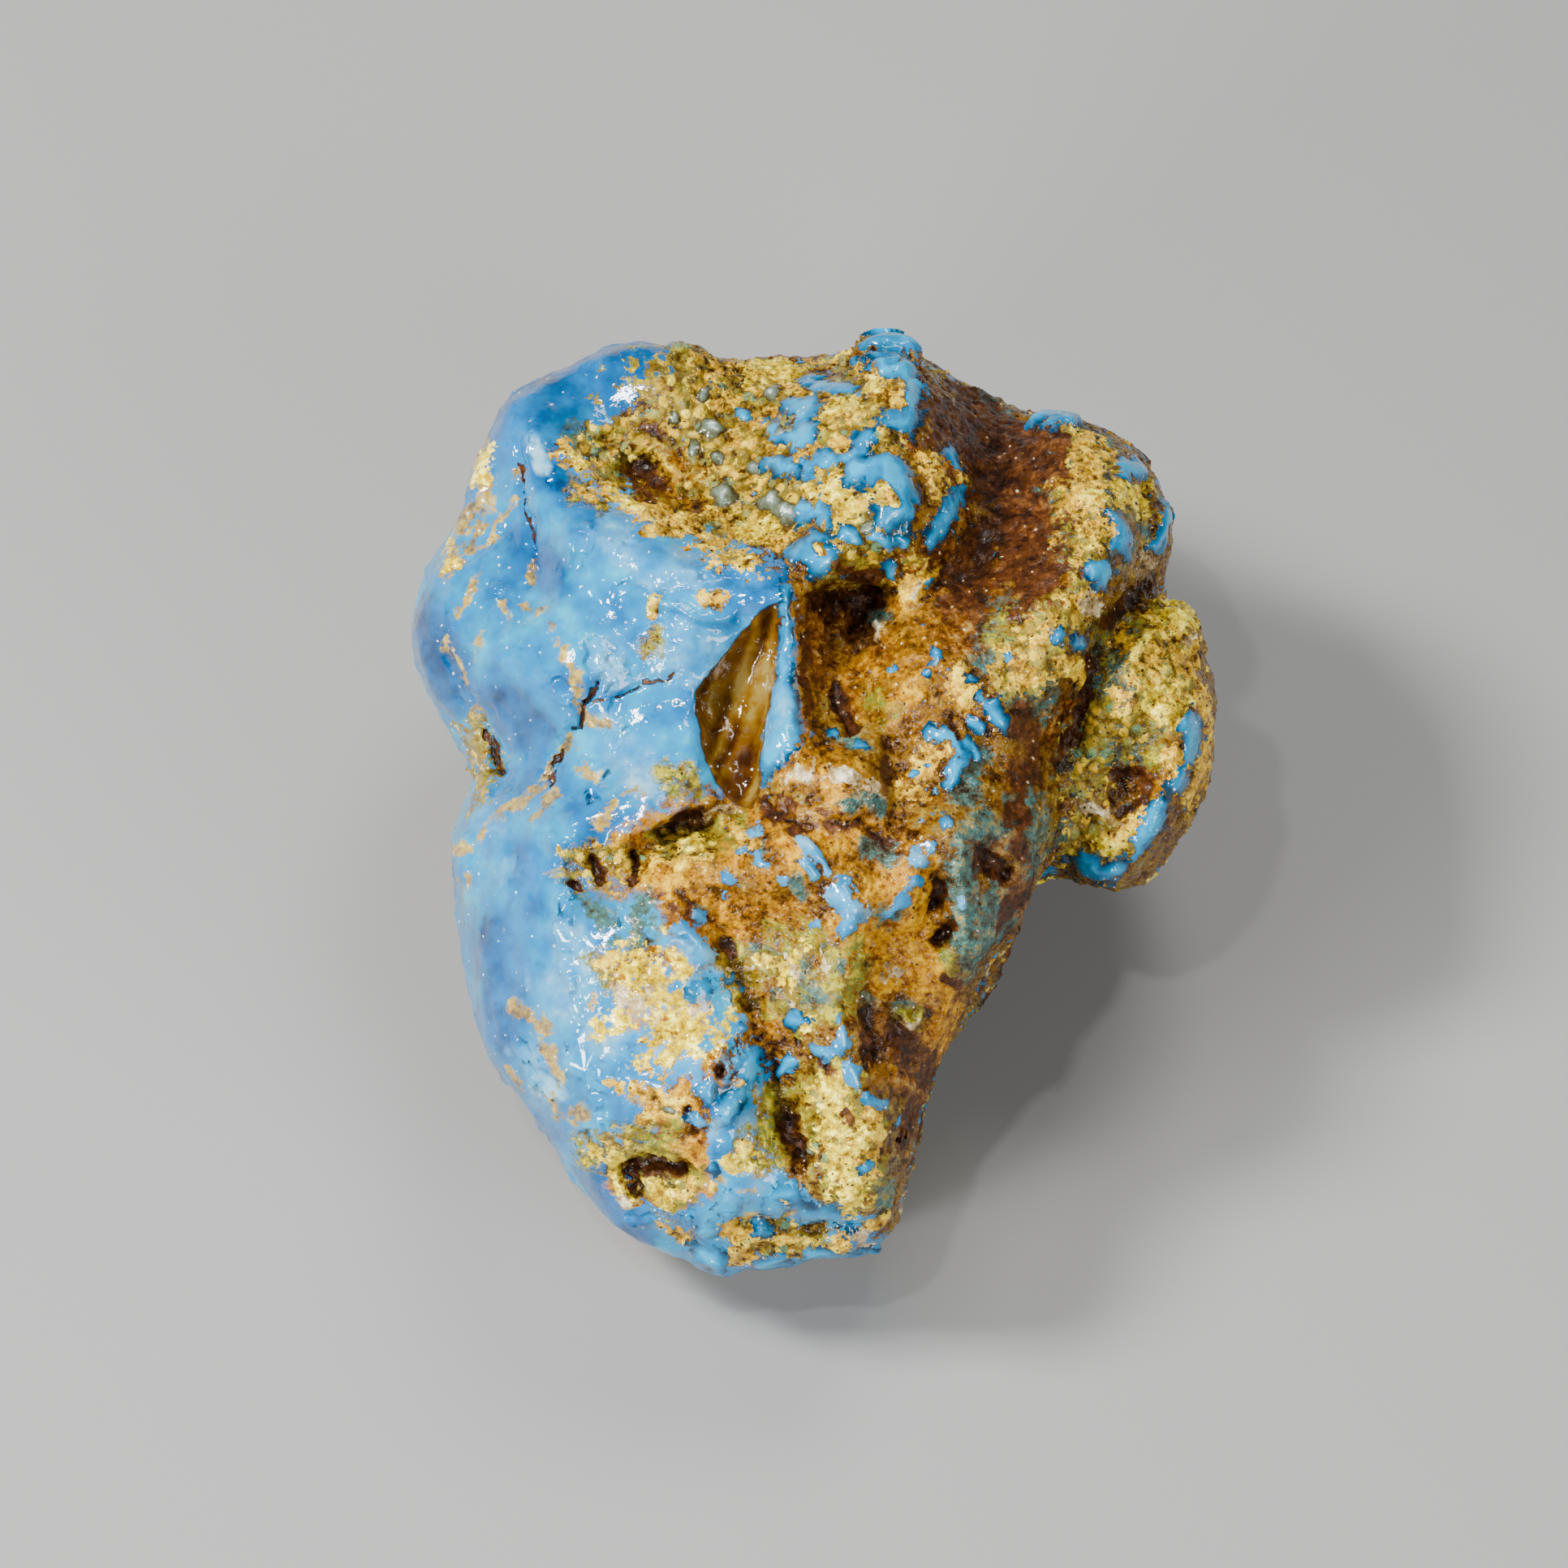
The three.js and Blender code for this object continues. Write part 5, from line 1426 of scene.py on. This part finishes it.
# Clouds of about 3, 1 and 0.4 mm, and grains of about 0.7 and 0.35 mm: a scale is how many go in a metre.
broad_a, broad_b, broad_c, _ = grain_values(300, 1.5)
clump_a, clump_b, clump_c, clump = grain_values(900, 2)
crumb_a, crumb_b, crumb_c, crumb = grain_values(2800, 2, 0.65)
bead_distance, bead_a, bead_b = cells(1450, clump)
speck_distance, speck_a, speck_b = cells(2900, crumb)


def times(first, second):
    return math_node(tree, "MULTIPLY", first, second)


def times_plus(first, second, more):
    return math_node(tree, "MULTIPLY_ADD", first, second, more)


def rest_of(mask):
    return math_node(tree, "SUBTRACT", 1, mask)


def highest(first, *others):
    for other in others:
        first = math_node(tree, "MAXIMUM", first, other)
    return first


def field_of(name):
    return add_node(tree, "Attribute", attribute_name=name).outputs["Fac"]


def ragged_mask(name, clumps, crumbs, breaking, blur):
    node = tree.nodes.new("ShaderNodeGroup")
    node.node_tree = ragged
    given = (field_of(name), clumps, crumbs, breaking, blur)
    for label, value in zip(("Field", "Clumps", "Crumbs", "Break", "Blur"), given):
        wire(tree, node.inputs[label], value)
    return node.outputs["Mask"]


def weighed(*shares):
    """A value round one half that adds up values round one half, each (value, share)."""
    total = 0.5 - 0.5 * sum(share for _, share in shares)
    for value, share in shares:
        total = times_plus(value, share, total)
    return total


def tones(value, *colours, hard=False):
    """Colours spread evenly over 0 to 1, with soft or hard steps between them."""
    node = add_node(tree, "ValToRGB", {"Fac": value})
    node.color_ramp.interpolation = "CONSTANT" if hard else "LINEAR"
    stops = node.color_ramp.elements
    stops[0].color = (*colours[0], 1)
    stops[1].color = (*colours[-1], 1)
    for index, colour in enumerate(colours[1:-1], 1):
        stops.new(index / (len(colours) - 1)).color = (*colour, 1)
    return node.outputs["Color"]


soft_a = weighed((broad_a, 2.2), (clump_a, 1.2))
soft_b = weighed((broad_b, 2.2), (clump_b, 1.4))
soft_c = weighed((broad_c, 2.2), (clump_c, 1.2))
# The grain values below take in the rise, so the colours drawn from them are painted darker in hollows and
# lighter on ridges: painted shade and painted light.
rise = field_of("rise")
grain_and_shade_a = weighed((bead_a, 0.35), (speck_a, 0.35), (clump_b, 1.3), (crumb_b, 1.3), (rise, 0.5))
grain_and_shade_b = weighed((bead_b, 0.35), (speck_b, 0.35), (clump_c, 1.3), (crumb_c, 1.3), (rise, 0.7))
grain_and_shade_c = weighed((speck_a, 0.35), (clump_a, 1.6), (crumb_a, 1.6), (rise, 0.5))

skin_blue = tones(
    soft_a, (0, 0.078, 0.215), (0, 0.118, 0.28), (0, 0.15, 0.315), (0, 0.19, 0.35), (0.012, 0.255, 0.39),
)
milky_blue_and_highlight = tones(
    soft_b, (0, 0.122, 0.298), (0.012, 0.163, 0.346), (0.048, 0.224, 0.384), (0.18, 0.347, 0.422),
)
azure_blue = tones(soft_c, (0, 0.027, 0.089), (0, 0.055, 0.162), (0, 0.082, 0.227), (0, 0.116, 0.292))
# The knobs' blue is painted darker towards their edges and lighter on their tops: painted shade and painted
# light.
knob_painted_shade = math_node(tree, "ADD", weighed((field_of("skin"), 2), (clump_b, 1), (broad_b, 1.4)), -0.4)
knob_blue_painted_shade = tones(
    knob_painted_shade, (0, 0.022, 0.05), (0, 0.065, 0.14), (0, 0.115, 0.24), (0, 0.155, 0.32), (0.006, 0.23, 0.4),
)
# The bubbles are painted dark at the rim and pale in the middle: painted shade round a painted highlight.
bubble_painted_shading = math_node(tree, "ADD", weighed((field_of("bubble"), 2.2), (crumb_b, 0.8), (clump_b, 0.8)), -0.5)
bubble_glass_painted_highlight = tones(
    bubble_painted_shading, (0.02, 0.014, 0.004), (0.05, 0.05, 0.024), (0.08, 0.1, 0.06), (0.12, 0.16, 0.13),
    (0.45, 0.5, 0.46),
)
grey_teal = tones(
    grain_and_shade_a, (0.018, 0.012, 0.006), (0.036, 0.036, 0.02), (0.035, 0.065, 0.048), (0.028, 0.09, 0.088),
    (0.075, 0.13, 0.095), (0.17, 0.145, 0.05),
)
yellow_olive = tones(
    grain_and_shade_b, (0.04, 0.021, 0.0011), (0.087, 0.067, 0.0038), (0.178, 0.095, 0.001), (0.08, 0.119, 0.0189),
    (0.245, 0.176, 0.0028), (0.297, 0.274, 0.024),
)
brown_amber = tones(
    grain_and_shade_b, (0.0126, 0.0035, 0.0003), (0.038, 0.0121, 0.0007), (0.072, 0.027, 0.0012),
    (0.117, 0.05, 0.0024), (0.162, 0.077, 0.0036), (0.09, 0.071, 0.0176), (0.243, 0.142, 0.0132),
)
bright_orange = tones(
    grain_and_shade_c, (0.0174, 0.0053, 0.0005), (0.063, 0.021, 0.0005), (0.125, 0.046, 0.0005),
    (0.194, 0.078, 0.0005), (0.252, 0.111, 0.0011), (0.3, 0.166, 0.012),
)
red_brown = tones(
    grain_and_shade_a, (0.01, 0.0026, 0.001), (0.032, 0.009, 0.001), (0.068, 0.02, 0.002), (0.12, 0.04, 0.003),
    (0.19, 0.075, 0.008), (0.27, 0.16, 0.04),
)
gold_glow = tones(
    grain_and_shade_c, (0.108, 0.031, 0.0008), (0.216, 0.078, 0.0008), (0.324, 0.139, 0.0008), (0.4, 0.196, 0.0008),
    (0.475, 0.269, 0.0064),
)
dark_umber_and_shade = tones(
    grain_and_shade_a, (0.0076, 0.0022, 0.0008), (0.019, 0.0056, 0.0013), (0.034, 0.0096, 0.0018),
    (0.049, 0.0144, 0.0026), (0.072, 0.022, 0.0039), (0.114, 0.042, 0.0078),
)
gold_crust = tones(
    grain_and_shade_b, (0.037, 0.016, 0.0015), (0.155, 0.077, 0.003), (0.301, 0.16, 0.006), (0.446, 0.249, 0.01),
    (0.563, 0.348, 0.0175), (0.66, 0.498, 0.045),
)
bead_tones = tones(
    bead_b, (0.049, 0.031, 0.006), (0.543, 0.323, 0.015), (0.242, 0.162, 0.018), (0.155, 0.152, 0.036),
    (0.64, 0.408, 0.021), (0.078, 0.19, 0.102), (0.32, 0.199, 0.015), (0.485, 0.285, 0.012),
    (0.107, 0.085, 0.018), (0.825, 0.608, 0.048), (0.194, 0.199, 0.06), (0.601, 0.399, 0.024),
    (0.757, 0.703, 0.24), hard=True,
)
ochre_vein = tones(
    grain_and_shade_c, (0.08, 0.045, 0.004), (0.17, 0.1, 0.006), (0.27, 0.165, 0.008), (0.36, 0.23, 0.015),
    (0.46, 0.33, 0.05),
)
straw_grain = tones(
    grain_and_shade_c, (0.13, 0.07, 0.001), (0.29, 0.18, 0.001), (0.44, 0.3, 0.004), (0.6, 0.46, 0.015),
    (0.88, 0.76, 0.13),
)
cream_grain_and_glints = tones(
    grain_and_shade_a, (0.085, 0.048, 0.013), (0.187, 0.12, 0.039), (0.281, 0.2, 0.085), (0.391, 0.32, 0.169),
    (0.595, 0.544, 0.364),
)
chip_brown = tones(
    weighed((field_of("streak"), 0.9), (clump_c, 1)), (0.018, 0.0047, 0.0006), (0.041, 0.0125, 0.0011),
    (0.072, 0.026, 0.0011), (0.102, 0.046, 0.0022), (0.132, 0.069, 0.0055), (0.168, 0.115, 0.024),
)

milk_and_highlight = ragged_mask("milk_and_highlight", broad_b, clump_c, 0.9, 0.3)
azure = ragged_mask("azure", broad_c, clump_a, 0.7, 0.3)
teal = ragged_mask("teal", clump_a, crumb_a, 1.5, 0.26)
olive = ragged_mask("olive", clump_c, crumb_b, 1.5, 0.28)
amber = ragged_mask("amber", clump_b, crumb_c, 1.2, 0.08)
orange = ragged_mask("orange", clump_a, crumb_c, 1.4, 0.3)
russet = ragged_mask("russet", clump_c, crumb_b, 1.4, 0.28)
glow = ragged_mask("glow", clump_b, crumb_a, 1.2, 0.34)
umber_and_shade = ragged_mask("umber_and_shade", clump_c, crumb_b, 1.2, 0.16)
crust = ragged_mask("crust", clump_a, crumb_b, 2.2, 0.07)
straw = ragged_mask("straw", clump_b, crumb_a, 2.4, 0.16)
cream_and_glints = ragged_mask("cream_and_glints", clump_c, crumb_c, 1.5, 0.08)
beaded = ragged_mask("beaded", clump_b, crumb_c, 1.6, 0.06)
vein = ragged_mask("vein", clump_c, crumb_b, 2, 0.25)
skin = ragged_mask("skin", clump_c, crumb_a, 1.15, 0.06)
bubble = ragged_mask("bubble", clump_c, crumb_a, 0.2, 0.05)
chip = ragged_mask("chip", clump_a, crumb_a, 0.15, 0.06)

bead_colour = mix(tree, weighed((crumb_c, 1.6)), bead_tones, mix(tree, 0.5, yellow_olive, bead_tones))
between_beads = smooth_between(tree, bead_distance, 0.36, 0.62)
bead_colour = mix(tree, between_beads, bead_colour, mix(tree, clump_a, yellow_olive, brown_amber))

# The colours lie over the blue of the skin, each on top of those before it.
layers = (
    (azure, azure_blue),
    (milk_and_highlight, milky_blue_and_highlight),
    (times(vein, 0.9), ochre_vein),
    (amber, brown_amber),
    (orange, bright_orange),
    (russet, red_brown),
    (glow, gold_glow),
    (teal, grey_teal),
    (olive, yellow_olive),
    (beaded, bead_colour),
    (crust, gold_crust),
    (straw, straw_grain),
    (umber_and_shade, dark_umber_and_shade),
    (cream_and_glints, cream_grain_and_glints),
    (bubble, bubble_glass_painted_highlight),
    (chip, chip_brown),
    (skin, mix(tree, times(milk_and_highlight, 0.6), knob_blue_painted_shade, milky_blue_and_highlight)),
)
colour = skin_blue
for mask, tone in layers:
    colour = mix(tree, mask, colour, tone)


def some_grains(distance, gone, full, value, low, high):
    """The middles of those grains whose own value is high, fading out where the distance reaches gone."""
    return times(smooth_between(tree, distance, gone, full), smooth_between(tree, value, low, high))


# Dark pores in the crust and the amber, and pale specks in both and on the skin, which are partly grit and
# partly painted sparkle highlights.
uncovered = rest_of(highest(bubble, skin, chip))
bare_mask = times(highest(crust, amber, umber_and_shade, olive), uncovered)
pore = some_grains(speck_distance, 0.34, 0.16, speck_b, 0.78, 0.8)
colour = mix(tree, times(pore, bare_mask), colour, (0.03, 0.012, 0.004, 1))
grit_and_sparkle = some_grains(speck_distance, 0.3, 0.1, speck_a, 0.92, 0.94)
grit_and_sparkle_tone = mix(tree, bare_mask, (0.7, 0.8, 0.85, 1), (0.6, 0.5, 0.3, 1))
colour = mix(tree, times(grit_and_sparkle, 0.75), colour, grit_and_sparkle_tone)
tree.links.new(colour, shader.inputs["Base Color"])

# The wet gloss breaks into sparkles: round grains in the crust, and droplets and ripples on the skin.
bead = smooth_between(tree, bead_distance, 0.7, 0)
beads_here = times(times_plus(bare_mask, 0.25, times(beaded, 0.9)), uncovered)
droplet = some_grains(bead_distance, 0.4, 0.05, bead_a, 0.55, 0.6)
gritty = times(bare_mask, times_plus(umber_and_shade, -0.6, 1))
grains = times(smooth_between(tree, speck_distance, 0.6, 0.1), gritty)
wet = rest_of(highest(bare_mask, chip))
ripple = add_node(tree, "TexNoise", {"Vector": place, "Scale": 560, "Detail": 0.8, "Roughness": 0.5})
height = times_plus(droplet, 0.25, times(bead, beads_here))
height = times_plus(grains, 0.35, height)
height = times_plus(crumb_a, times_plus(gritty, 0.8, 0.15), height)
height = times_plus(crust, 0.4, height)
height = times_plus(times(ripple.outputs["Fac"], wet), 2.4, height)
height = times(height, times_plus(field_of("flat"), -0.75, 1))
bump = add_node(tree, "Bump", {"Height": height, "Strength": 0.7, "Distance": 0.25 * MM})
tree.links.new(bump.outputs["Normal"], shader.inputs["Normal"])

roughness = times_plus(umber_and_shade, 0.25, times_plus(bare_mask, 0.05, times(clump_b, 0.16)))
tree.links.new(roughness, shader.inputs["Roughness"])
shader.inputs["IOR"].default_value = 1.5
tree.links.new(times_plus(bare_mask, -0.28, 0.45), shader.inputs["Specular IOR Level"])

mesh.materials.append(surface)
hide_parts("amber_nodule")
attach(nodule, "root")

# ---- The table ----------------------------------------------------------------------------------
# A plain pale surface that the nodule lies on.

table_mesh = bpy.data.meshes.new("table")
table_top = bmesh.new()
bmesh.ops.create_grid(table_top, x_segments=1, y_segments=1, size=1.5)  # metres, half its width
bmesh.ops.translate(table_top, verts=table_top.verts, vec=(0, 0, cad_bounds[0][2]))
table_top.to_mesh(table_mesh)
table_top.free()
table = bpy.data.objects.new("table", table_mesh)
bpy.context.scene.collection.objects.link(table)
paper = bpy.data.materials.new("pale table")
paper.use_nodes = True
paper.node_tree.nodes["Principled BSDF"].inputs["Base Color"].default_value = (0.19, 0.188, 0.184, 1)
paper.node_tree.nodes["Principled BSDF"].inputs["Roughness"].default_value = 0.7
table_mesh.materials.append(paper)

# ---- The light ----------------------------------------------------------------------------------
# Soft boxes above the left shoulder and low on the left, weaker ones above and on the right, a small
# lamp for the sparkle, and a pale room all round.


def soft_box(name, offset, size, power):
    lamp = bpy.data.lights.new(name, "AREA")
    lamp.size = size
    lamp.energy = power
    holder = bpy.data.objects.new(name, lamp)
    bpy.context.scene.collection.objects.link(holder)
    holder.matrix_world = Matrix.Translation(face_middle + Vector(offset)) @ (
        Vector(offset).to_track_quat("Z", "Y").to_matrix().to_4x4()
    )


soft_box("key light", KEY_LIGHT, 0.115, 6.8)
soft_box("low left light", LOW_LIGHT, 0.115, 3.6)
soft_box("top light", (0.12, 0.2, 0.5), 0.2, 2.2)
soft_box("right light", (0.3, -0.35, 0.2), 0.25, 3)
soft_box("spark", (-0.1, -0.2, 0.5), 0.02, 0.9)
room = bpy.data.worlds.new("room")
room.use_nodes = True
room.node_tree.nodes["Background"].inputs["Color"].default_value = (0.8, 0.85, 0.9, 1)
room.node_tree.nodes["Background"].inputs["Strength"].default_value = 0.13
bpy.context.scene.world = room
